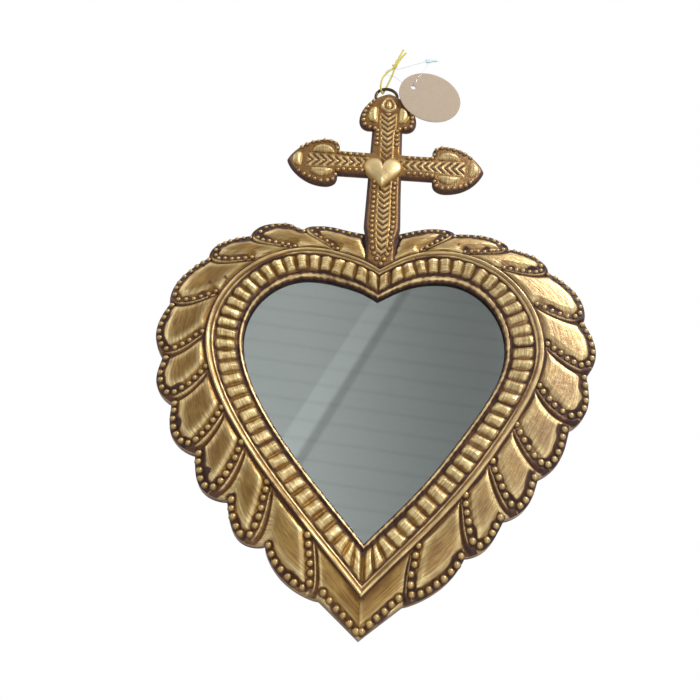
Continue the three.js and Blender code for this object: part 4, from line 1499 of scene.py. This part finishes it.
def crossOutline():
    # anticlockwise from the foot's right side, as seen from the front
    c, stem, blunt = cross["crossingZ"], cross["stem"] + 0.5, cross["blunt"]
    neckX = cross["halfSpan"] - cross["finialLength"]
    neckZ = cross["topZ"] - cross["finialLength"]

    def along(a, b):
        return np.linspace(a, b, max(2, int(abs(b - a) / cross["spacing"])))

    def bend(a, b):
        return a + (b - a) * np.sin(np.linspace(0, math.pi / 2, 60))

    foot, arm, high = along(cross["footZ"], c - stem), along(stem, neckX), along(c + stem, neckZ)
    far = bend(neckX + 0.01, cross["halfSpan"] - blunt)
    top = bend(neckZ + 0.01, cross["topZ"] - blunt)
    half = [(stemWidth(foot), foot), (arm, c - armWidth(arm)), (far, c - armWidth(far))]
    half += [(x[::-1], c + armWidth(x[::-1])) for x in (far, arm)]
    half += [(stemWidth(z), z) for z in (high, top)]
    half = np.vstack([np.column_stack(part) for part in half])
    whole = np.vstack([half, half[::-1] * (-1, 1), half[:1]])
    return spreadAlong(whole, int(walkedTo(whole)[-1] / cross["spacing"]), False)


def edgeDistance(x, z, line):
    ahead = np.roll(line, -1, 0)
    best = np.full(x.shape, 1e9)
    for start in range(0, len(line), 60):
        p, q = line[start:start + 60], ahead[start:start + 60]
        d = q - p
        length = np.maximum((d ** 2).sum(1), 1e-9)
        fromX, fromZ = x[:, None] - p[:, 0], z[:, None] - p[:, 1]
        t = np.clip((fromX * d[:, 0] + fromZ * d[:, 1]) / length, 0, 1)
        gap = np.hypot(fromX - t * d[:, 0], fromZ - t * d[:, 1])
        best = np.minimum(best, gap.min(1))
    return best


def insideLine(x, z, line):
    inside = np.zeros(x.shape, bool)
    for (ax, az), (bx, bz) in zip(line, np.roll(line, -1, 0)):
        if az != bz:
            inside ^= ((az > z) != (bz > z)) & (x < (bx - ax) * (z - az) / (bz - az) + ax)
    return inside


crossDomes = {
    "rise": 2.8,
    # half moons: centre, half length, depth of the bulge, turn of its round side
    "moons": [
        ((9.2, 200.0), 7.4, 6.4, 0),
        ((-9.2, 200.0), 7.4, 6.4, 180),
        ((48.0, 159.6), 7.6, 6.0, 90),
        ((-48.0, 159.6), 7.6, 6.0, 90),
        ((48.0, 142.8), 7.6, 6.0, -90),
        ((-48.0, 142.8), 7.6, 6.0, -90),
        ((64.6, 151.2), 6.2, 6.0, 0),
        ((-64.6, 151.2), 6.2, 6.0, 180),
    ],
    # an almond-shaped ring with a seed in it: centre, half width and half length
    "almond": ((0.0, 211.0), 4.4, 6.2),
    "almondRise": 1.5,
    "seed": (1.6, 1.7, 3.6),
    "dark": (0.9, 0.75),
}


def halfMoon(x, z, centre, halfLong, depth, turn, rise):
    # nearly straight on one side and round on the other
    c, s = math.cos(math.radians(turn)), math.sin(math.radians(turn))
    outward = (x - centre[0]) * c + (z - centre[1]) * s
    beside = -(x - centre[0]) * s + (z - centre[1]) * c
    bow = np.sqrt(np.clip(1 - (beside / halfLong) ** 2, 0, 1))
    low, high = -0.12 * depth * bow, depth * bow
    share = (outward - low) / np.maximum(high - low, 1e-6)
    inside = (share > 0) & (share < 1) & (np.abs(beside) < halfLong)
    return np.where(inside, rise * np.clip(4 * share * (1 - share), 0, 1) ** 0.5 * bow ** 0.6, 0)


def crossRelief(x, z, edge):
    # height and darkness over the cross, and the way its brush marks run
    c, foot, leafTop = cross["crossingZ"], cross["footHeight"], cross["leafTopZ"]
    level = foot + (cross["height"] - foot) * fadeIn(z, cross["footZ"] + 22, leafTop + 34)
    level = level - cross["edgeDrop"] * fadeOut(edge, 0.0, 2.8) ** 1.3
    inArm = np.abs(x) > np.abs(z - c)
    across = np.where(inArm, np.abs(z - c), np.abs(x))
    along = np.where(inArm, np.abs(x), z)
    headEnd = np.where(z > c, cross["topZ"] - veins["topEnd"], 1e3)
    bandEnd = np.where(inArm, cross["halfSpan"] - veins["armEnd"], headEnd)
    reach = np.where(inArm, np.abs(x), np.where(z > c, z, 0))
    bandFade = fadeOut(reach, bandEnd - veins["endSoft"], bandEnd)
    footFade = np.where(inArm, 1, fadeIn(z, *veins["footStart"]))
    near, full = veins["widenFrom"]
    widen = 1 + veins["widen"] * fadeIn(reach, bandEnd - near, bandEnd - full) * (inArm | (z > c))
    footWidth = veins["footWidth"]
    footWide = footWidth + (1 - footWidth) * fadeIn(z, *veins["footWiden"])
    narrow = np.where(inArm, 1, footWide)
    half = veins["half"] * widen * narrow
    wave = 0.5 + 0.5 * np.cos(2 * math.pi * (along - across * veins["slope"]) / veins["pitch"])
    ridge = wave ** 0.75
    soft = veins["bandSoft"]
    inBand = fadeOut(across, half - soft, half + soft) * bandFade * footFade
    line = hump(across, half + veins["lineAt"] - veins["half"], 0.6)
    line = line * footFade * fadeOut(reach, bandEnd - 3, bandEnd)
    height = level + veins["rise"] * (ridge - 0.45) * inBand + veins["lineRise"] * line
    dark = veins["plainDark"] + veins["edgeDark"] * fadeOut(edge, *veins["edgeBand"])
    dark = dark * (1 - inBand) + (1.0 - veins["ridgeBright"] * ridge) * inBand - 0.3 * line
    domes = np.zeros(x.shape)
    for moon in crossDomes["moons"]:
        domes = np.maximum(domes, halfMoon(x, z, *moon, crossDomes["rise"]))
    middle, wide, tall = crossDomes["almond"]
    u, v = x - middle[0], z - middle[1]
    ring = np.hypot(u / (wide * np.clip(1.1 - v / tall / 3.2, 0.5, 1.3)), v / tall)
    almond = crossDomes["almondRise"] * np.exp(-((ring - 1) / 0.2) ** 2) * (np.hypot(u, v) < 11)
    seedRise, seedWide, seedTall = crossDomes["seed"]
    seed = seedRise * np.exp(-((u / seedWide) ** 2 + (v / seedTall) ** 2))
    domes = np.maximum(np.maximum(domes, almond), seed)
    between, paler = crossDomes["dark"]
    dark = np.where(domes > 0.12, np.clip(between - domes * paler, 0, 1), dark)
    fromCrossing = np.hypot(x, (z - veins["crossingAt"]) * 0.9)
    crossing = hump(fromCrossing, 0, veins["crossingReach"])
    dark = np.maximum(dark, veins["crossingDark"] * crossing)
    return height + domes, np.clip(dark, 0, 1), np.column_stack([across, along])


def crossBeadPlaces():
    # a row along both edges of stem and arms and round the three ends
    look, c = crossBeadRows, cross["crossingZ"]
    fromArm, fromFoot, fromHead = look["fromCrossing"]
    opens = [look["beside"], look["beside"], look["free"]]
    z = np.linspace(look["footZ"][0], c - fromFoot, 120)
    rows = [(np.interp(z, look["footZ"], look["footBeside"]), z)]
    reach = np.linspace(fromArm, cross["halfSpan"] - look["endInset"], 220)
    beside = np.minimum(armWidth(reach) - look["inset"], np.interp(reach, look["armOpens"], opens))
    rows += [(reach, c + up * np.maximum(beside, 0)) for up in (-1, 1)]
    z = np.linspace(c + fromHead, cross["topZ"] - look["endInset"], 220)
    beside = np.minimum(stemWidth(z) - look["inset"], np.interp(z, look["headOpens"], opens))
    rows.append((np.maximum(beside, 0), z))
    found = []
    for row in rows:
        row = np.column_stack(row)
        row = row[edgeDistance(row[:, 0], row[:, 1], crossLine) > look["inset"] - 0.8]
        found.append(evenPoints(roundCorners(row, 2), look["pitch"]))
    places = np.vstack(found)
    keep = []
    for p in np.vstack([places, places * (-1, 1)]):
        if all(math.hypot(*(p - q)) > look["apart"] for q in keep):
            keep.append(p)
    return np.array(keep) + np.random.default_rng(17).normal(0, look["strayed"], (len(keep), 2))


def crossMesh():
    # the outline filled with points in even rows
    step, count = cross["spacing"], len(crossLine)
    low, high = crossLine.min(0), crossLine.max(0)
    xs, zs = np.arange(low[0], high[0], step), np.arange(low[1], high[1], step * 0.866)
    gridX, gridZ = np.meshgrid(xs, zs)
    gridX = gridX + (np.arange(len(zs)) % 2)[:, None] * step / 2
    grid = np.column_stack([gridX.ravel(), gridZ.ravel()])
    grid = grid[insideLine(grid[:, 0], grid[:, 1], crossLine)]
    grid = grid[edgeDistance(grid[:, 0], grid[:, 1], crossLine) > 0.45 * step]
    flat = np.vstack([crossLine, grid])
    border = [(i, (i + 1) % count) for i in range(count)]
    found = geometry.delaunay_2d_cdt([Vector(p) for p in flat.tolist()], border, [], 1, 1e-5, False)
    flat = np.array([v[:] for v in found[0]])
    faces = np.array([list(f) for f in found[2]])
    middle = flat[faces].mean(1)
    return flat, faces[insideLine(middle[:, 0], middle[:, 1], crossLine)].tolist()


def buildCross():
    flat, faces = crossMesh()
    x, z = flat[:, 0], flat[:, 1]
    height, dark, brush = crossRelief(x, z, edgeDistance(x, z, crossLine))
    height = height + cross["uneven"] * smoothNoise(41, 9)(x, z)
    beadShade = 0.98 * fadeOut(distanceTo(x, z, crossBeads), 1.5, 3.3)
    dark = np.clip(np.maximum(dark, beadShade), 0, 1)
    # the rim is carried down from the outline's own points
    count = len(crossLine)
    nearest = [int(np.argmin((x - p[0]) ** 2 + (z - p[1]) ** 2)) for p in crossLine]
    ahead = np.roll(crossLine, -1, 0) - np.roll(crossLine, 1, 0)
    out = np.column_stack([ahead[:, 1], -ahead[:, 0]])
    out = out / np.maximum(1e-6, np.hypot(*ahead.T))[:, None]
    points, darks, brushes = [lifted(flat, height)], [dark], [brush]
    topHeight = height[nearest]
    onHeart = fadeIn(crossLine[:, 1], cross["leafTopZ"] - 6, cross["leafTopZ"] + 1)
    bottom = cross["rimOnHeart"] + (cross["rim"] - cross["rimOnHeart"]) * onHeart
    previous, start = nearest, len(flat)
    for share, spread in cross["rimLevels"]:
        level = topHeight + (bottom - topHeight) * share
        place = crossLine + out * spread
        points.append(lifted(place, level))
        darks.append(np.full(count, cross["rimDark"]))
        brushes.append(np.column_stack([np.arange(count) * cross["spacing"], level]))
        ring = [start + i for i in range(count)]
        faces += [[previous[i - 1], ring[i - 1], ring[i], previous[i]] for i in range(count)]
        previous = ring
        start += count
    darks = np.concatenate(darks)
    # painted highlight with rubbed metal on the cross's lighter, raised parts
    attributes = {"hollow": darks, "proudWearAndHighlight": cross["proudWearAndHighlight"] * fadeIn(1 - darks, 0.45, 1.0)}
    return meshPiece("crossSheet", np.vstack(points), faces, attributes, np.vstack(brushes))


crossLine = crossOutline()
crossBeads = crossBeadPlaces()
crossSheet = buildCross()
faceOutwards(crossSheet)
finish(crossSheet, crossGold, "frame", "antique_tin", "front_sheet")
under = heightUnder(crossSheet, crossBeads)
scatterBeads("crossBeads", crossBeads, under, 37, np.full(len(crossBeads), 0.9), dark=0.85)
print("cross:", len(crossSheet.data.polygons), "faces,", len(crossBeads), "beads")


# the smooth small heart where stem and arms meet

smallHeartLook = {
    "middle": (-2.6, 141.5),
    "tip": (-2.0, 124.6),
    "halfWide": 15.2,
    "tall": 32.6,
    "bed": 11.6,
    "rise": 4.4,
    "rows": 14,
    "columns": 96,
    "edgeDark": 0.7,
    "uneven": 0.25,
    "proudWearAndHighlight": 0.95,
    "brushTurn": (0.8, 0.6),
}


def smallHeartOutline(count):
    # a plump heart
    look = smallHeartLook
    t = np.linspace(0, 2 * math.pi, 800, endpoint=False)
    x = 16 * np.sin(t) ** 3
    y = 13 * np.cos(t) - 5 * np.cos(2 * t) - 2 * np.cos(3 * t) - np.cos(4 * t)
    z = look["tip"][1] + (y - y.min()) / (y.max() - y.min()) * look["tall"]
    line = np.column_stack([look["tip"][0] + x / 16 * look["halfWide"], z])
    return spreadAlong(np.vstack([line, line[:1]]), count, False)


def buildSmallHeart():
    look = smallHeartLook
    count, rows, bed, rise = (look[k] for k in ("columns", "rows", "bed", "rise"))
    edge, middle = smallHeartOutline(count), np.array(look["middle"])
    points, dark = [], []
    for k in range(rows):
        share = 1 - k / rows
        place = middle + (edge - middle) * share
        level = bed + rise * (1 - share ** 2.6) ** 0.62
        points.append(lifted(place, level))
        dark.append(np.full(count, look["edgeDark"] * fadeIn(share, 0.9, 1.0)))
    points = np.vstack(points + [lifted(middle[None], bed + rise)])
    dark = np.concatenate(dark + [np.zeros(1)])
    x, z = points[:, 0], points[:, 2]
    points[:, 1] += look["uneven"] * smoothNoise(51, 12)(x, z)
    faces = ringFaces(count, rows) + capFaces(rows * count, (rows - 1) * count, count)
    # painted highlight with rubbed metal on the top of the small heart's dome
    proudWearAndHighlight = look["proudWearAndHighlight"] * (1 - dark) * fadeIn(points[:, 1], bed + 0.3 * rise, bed + 0.9 * rise)
    c, s = look["brushTurn"]
    brushUv = np.column_stack([z * c + x * s, x * c - z * s])
    return meshPiece("smallHeart", points, faces, {"hollow": dark, "proudWearAndHighlight": proudWearAndHighlight}, brushUv)


smallHeart = buildSmallHeart()
faceOutwards(smallHeart)
finish(smallHeart, smoothGold, "frame", "antique_tin", "front_sheet")
print("small heart ready")


# mirror glass with its silvered back

mirrorLook = {
    "overlap": 8.0,
    "silverHeight": 4.0,
    "middle": (0.0, -8.0),
    "edgeShare": 0.99,
    "rings": 6,
    "columns": 240,
    "glass": {"Base Color": colour(244, 250, 247), "IOR": 1.5, "Transmission Weight": 1.0},
    "smudges": (0.62, 0.85, 0.0, 0.04),
    "silver": {
        "cloud": (25, 3),
        "tones": (colour(222, 226, 228), colour(230, 233, 234)),
        "plain": {"Metallic": 1.0, "Roughness": 0.02},
    },
}


def makeGlassMaterial():
    material, tree, shader, place = startMaterial("clearGlass")
    smudge = ramp(tree, noiseAt(tree, place, 40, 4, 0.6), *mirrorLook["smudges"])
    feed(shader, {**mirrorLook["glass"], "Roughness": smudge})
    return material


def buildMirrorSilver():
    look = mirrorLook
    sizes = grown(openingSizes, {k: look["overlap"] for k in ("notch", "top", "side", "tip")})
    half = heartLine(sizes).at(np.linspace(0, 1, look["columns"] // 2 + 1))
    edge = np.vstack([half, half[::-1][1:-1] * (-1, 1)])
    middle, count, rings = np.array(look["middle"]), len(edge), look["rings"]
    shares = np.linspace(look["edgeShare"], 0, rings + 1)[:-1]
    flat = np.vstack([middle + (edge - middle) * s for s in shares] + [middle[None, :]])
    points = lifted(flat, look["silverHeight"])
    faces = ringFaces(count, rings) + capFaces(rings * count, (rings - 1) * count, count)
    return meshPiece("mirrorSilver", points, faces)


mirrorSilver = buildMirrorSilver()
silverBacking = cloudyFinish("silverBacking", mirrorLook["silver"])
finish(mirrorSilver, silverBacking, "frame", "mirror_glass")


# ring behind the cross's head, as dark bronzed wire

ringLook = {
    "at": (-2.0, 4.05, 227.0),
    "radius": 8.75,
    "wire": 1.25,
    "tones": (colour(58, 40, 24), colour(104, 78, 46)),
    "scraped": colour(158, 128, 78),
    "metallic": 0.8,
}


def makeBronzeMaterial():
    material, tree, shader, place = startMaterial("bronzedWire")
    cloud = noiseAt(tree, place, 420, 4)
    scrape = noiseAt(tree, place, 1500, 3)
    base = mixColour(tree, cloud, *ringLook["tones"])
    base = mixColour(tree, ramp(tree, scrape, 0.58, 0.72), base, ringLook["scraped"])
    rough = ramp(tree, cloud, 0.3, 0.7, 0.32, 0.55)
    feed(shader, {"Base Color": base, "Metallic": ringLook["metallic"], "Roughness": rough})
    bumpInto(tree, shader, scrape, 0.0002, 0.5)
    return material


def buildRing():
    look = ringLook
    deselectAll()
    bpy.ops.mesh.primitive_torus_add(
        major_radius=look["radius"] * mm,
        minor_radius=look["wire"] * mm,
        major_segments=72,
        minor_segments=16,
        location=(look["at"][0] * mm, -look["at"][1] * mm, look["at"][2] * mm),
        rotation=(math.radians(90), 0, 0),
    )
    ring = bpy.context.object
    ring.name = "hangingRing"
    bakePlace(ring)
    smoothShade(ring, 60)
    return ring


hangingRing = buildRing()
finish(hangingRing, makeBronzeMaterial(), "frame", "bronzed_wire", "hanging_ring")


# tabs, ring solder, card and glass keep the CAD's shapes
# back sheet and rim solder follow the worked edge

tinLook = {
    "tones": (colour(158, 158, 152), colour(184, 184, 178)),
    "stain": colour(126, 120, 108),
    "flakeScale": 130.0,
    "dentScale": 70.0,
    "metallic": 0.9,
}

solderLook = {
    "cloud": (700, 4),
    "tones": (colour(132, 132, 128), colour(186, 186, 180)),
    "gloss": (0.3, 0.7, 0.3, 0.6),
    "bump": (0.0005, 0.7),
    "plain": {"Metallic": 0.9},
}

cardLook = {
    "stretch": (240.0, 240.0, 900.0),
    "cloud": (1.0, 5, 0.65),
    "tones": (colour(142, 132, 114), colour(174, 164, 144)),
    "bump": (0.0002, 0.5),
    "plain": {"Roughness": 0.9},
}


def makeTinMaterial():
    material, tree, shader, place = startMaterial("plainTin")
    flakes = cells(tree, place, tinLook["flakeScale"])
    dull = noiseAt(tree, place, 90, 4)
    base = mixColour(tree, flakes, *tinLook["tones"])
    base = mixColour(tree, ramp(tree, dull, 0.5, 0.75), base, tinLook["stain"])
    rough = ramp(tree, dull, 0.3, 0.7, 0.34, 0.52)
    feed(shader, {"Base Color": base, "Metallic": tinLook["metallic"], "Roughness": rough})
    dents = groupNode(tree, dentGroup, Place=place, Size=tinLook["dentScale"])
    bumpInto(tree, shader, dents["Height"], 0.0006, 0.5)
    return material


def paintNodes(material, names):
    for name in names:
        mesh = nodes[name].data
        if not mesh.materials:
            mesh.materials.append(material)
        for index in range(len(mesh.materials)):
            mesh.materials[index] = material


backLook = {
    "inset": 0.5,
    "thickness": 0.4,
    "ringInside": 0.97,
    "columns": 700,
    "middle": (0.0, 5.0),
    "solderAtLeaf": [1, 4, 6, 9],
    "solderInset": 2.6,
}


def heartEdge(side, share, inset):
    place = leafPlace(share, np.ones(len(share)), side, np.full(len(share), inset))
    return shifted(place, side)


def buildBackSheet():
    # the flat heart that closes the back follows the front sheet's own edge
    look = backLook
    share = np.linspace(0, 1, look["columns"] // 2 + 1)
    right, left = (heartEdge(side, share, look["inset"]) for side in (1, -1))
    edge = np.vstack([right, left[::-1][1:-1]])
    middle, count = np.array(look["middle"]), len(edge)
    inside, thickness = look["ringInside"], look["thickness"]
    points = []
    for size, height in ((inside, thickness), (1.0, thickness), (1.0, 0.0), (inside, 0.0)):
        place = middle + (edge - middle) * size
        points.append(lifted(place, height))
    points += [lifted(middle[None], height) for height in (thickness, 0.0)]
    faces = ringFaces(count, 4) + capFaces(4 * count, 0, count)
    faces += [face[::-1] for face in capFaces(4 * count + 1, 3 * count, count)]
    sheet = meshPiece("backSheet", np.vstack(points), faces, smooth=False)
    faceOutwards(sheet)
    return sheet


def buildRimSolder(number, side, leaf):
    # the CAD's own dot, moved to where the worked edge really runs
    place = heartEdge(side, np.array([leafEnds[side][leaf]]), backLook["solderInset"])[0]
    data = nodes[f"rim_solder_{number}"].data.copy()
    data.materials.clear()
    dot = bpy.data.objects.new(f"rimSolder_{number}", data)
    bpy.context.scene.collection.objects.link(dot)
    corners = np.array([v.co[:] for v in dot.data.vertices])
    middle = (corners.min(0) + corners.max(0)) / 2
    corners[:, 0] += place[0] * mm - middle[0]
    corners[:, 2] += place[1] * mm - middle[2]
    dot.data.vertices.foreach_set("co", corners.ravel())
    dot.data.update()
    return dot


plainTin = makeTinMaterial()
dullSolder = cloudyFinish("dullSolder", solderLook)
finish(buildBackSheet(), plainTin, "frame", "plain_tin", "back_sheet")
for k, leaf in enumerate(backLook["solderAtLeaf"]):
    for number, side in ((2 * k + 1, 1), (2 * k + 2, -1)):
        dot = buildRimSolder(number, side, leaf)
        finish(dot, dullSolder, "frame", "solder", f"rim_solder_{number}")
paintNodes(plainTin, [f"tab_{k}" for k in range(1, 9)])
paintNodes(dullSolder, ["ring_solder_left", "ring_solder_right"])
paintNodes(cloudyFinish("greyCard", cardLook), ["backing_card"])
paintNodes(makeGlassMaterial(), ["mirror_glass"])
print("mirror, ring and back finished")


# studio: floor, lamps, sky and the grey panel that the mirror and the gold reflect

studio = {
    "floorZ": -0.62,
    "floorSize": 5.0,
    "floor": {"Base Color": (0.9, 0.9, 0.9, 1), "Roughness": 0.8},
    "sky": 0.45,
    "lampsAim": (0, 0, 0.03),
    "lamps": {
        "key": {"at": (0.8, -0.8, 1.0), "size": 0.45, "watts": 15},
        "fill": {"at": (-1.0, -1.0, 0.9), "size": 0.8, "watts": 3},
        "low": {"at": (0.3, -1.0, -0.55), "size": 0.7, "watts": 2},
    },
}

# a dim screen, lighter on its left, with a sloping beam and slats as the photographed mirror shows
panelLook = {
    "at": (0.0, -1.3, 0.75),
    "size": (2.6, 1.7, 1),
    "plain": {"Base Color": (0, 0, 0, 1), "Specular IOR Level": 0.0, "Emission Strength": 1.0},
    "tint": (1.03, 1.0, 1.0, 1),
    "border": (0.24, 0.38, 0.08, 0.47),
    "falling": (0.40, 0.64, 0.0, 0.25),
    "rising": (0.64, 0.76, 0.0, 0.35),
    "lift": (0.0, 0.6, 1.12, 0.95),
    "beamSlope": 0.32,
    "beams": [(0.358, (0.010, 0.014, 1.2, 1.0)), (0.377, (0.002, 0.007, 0.78, 1.0))],
    "slatSlope": 0.12,
    "slatPitch": 0.0155,
    "slat": (0.0, 0.005, 0.92, 1.0),
}


def makeWorld():
    # white where it is seen directly, in a reflection or through glass
    world = bpy.data.worlds.new("studio")
    bpy.context.scene.world = world
    world.use_nodes = True
    tree = world.node_tree
    tree.nodes.clear()
    out = tree.nodes.new("ShaderNodeOutputWorld")
    lit, seen = (
        node(tree, "ShaderNodeBackground", {"Color": (1, 1, 1, 1), "Strength": strength})
        for strength in (studio["sky"], 1.0)
    )
    path = tree.nodes.new("ShaderNodeLightPath").outputs
    direct = math2(tree, "MAXIMUM", path["Is Camera Ray"], path["Is Transmission Ray"])
    direct = math2(tree, "MAXIMUM", direct, path["Is Glossy Ray"])
    mix = node(tree, "ShaderNodeMixShader", {0: direct, 1: lit.outputs[0], 2: seen.outputs[0]})
    feed(out, {"Surface": mix.outputs[0]})


def addLamp(name, at, size, watts):
    data = bpy.data.lights.new(name, "AREA")
    data.shape = "DISK"
    data.size = size
    data.energy = watts
    lamp = bpy.data.objects.new(name, data)
    bpy.context.scene.collection.objects.link(lamp)
    lamp.location = at
    aim = Vector(studio["lampsAim"]) - Vector(at)
    lamp.rotation_euler = aim.to_track_quat("-Z", "Y").to_euler()


def addFloor():
    deselectAll()
    bpy.ops.mesh.primitive_plane_add(size=studio["floorSize"], location=(0, 0, studio["floorZ"]))
    floor = bpy.context.object
    floor.name = "studioFloor"
    material, _, shader, _ = startMaterial("palePaint")
    feed(shader, studio["floor"])
    floor.data.materials.append(material)


def addPanel():
    look = panelLook
    deselectAll()
    upright = (math.radians(90), 0, 0)
    bpy.ops.mesh.primitive_plane_add(size=1, location=look["at"], rotation=upright)
    panel = bpy.context.object
    panel.name = "greyPanel"
    panel.scale = look["size"]
    material, tree, shader, place = startMaterial("greyScreen", "UV")
    x, y, _ = node(tree, "ShaderNodeSeparateXYZ", {"Vector": place}).outputs
    border, falling, rising = (ramp(tree, x, *look[k]) for k in ("border", "falling", "rising"))
    glow = plus(tree, minus(tree, border, falling), rising)
    glow = times(tree, glow, ramp(tree, y, *look["lift"]))
    slope = minus(tree, x, times(tree, y, look["beamSlope"]))
    for at, shape in look["beams"]:
        beside = math2(tree, "ABSOLUTE", minus(tree, slope, at))
        glow = times(tree, glow, ramp(tree, beside, *shape))
    level = plus(tree, y, times(tree, x, look["slatSlope"]))
    slats = math2(tree, "PINGPONG", level, look["slatPitch"])
    glow = times(tree, glow, ramp(tree, slats, *look["slat"]))
    tint = mixColour(tree, glow, (0, 0, 0, 1), look["tint"])
    feed(shader, {**look["plain"], "Emission Color": tint})
    panel.data.materials.append(material)
    panel.visible_camera = panel.visible_diffuse = panel.visible_shadow = False


makeWorld()
for name, lamp in studio["lamps"].items():
    addLamp(name, **lamp)
addFloor()
addPanel()
bpy.context.scene.view_settings.view_transform = "Standard"
print("studio ready")
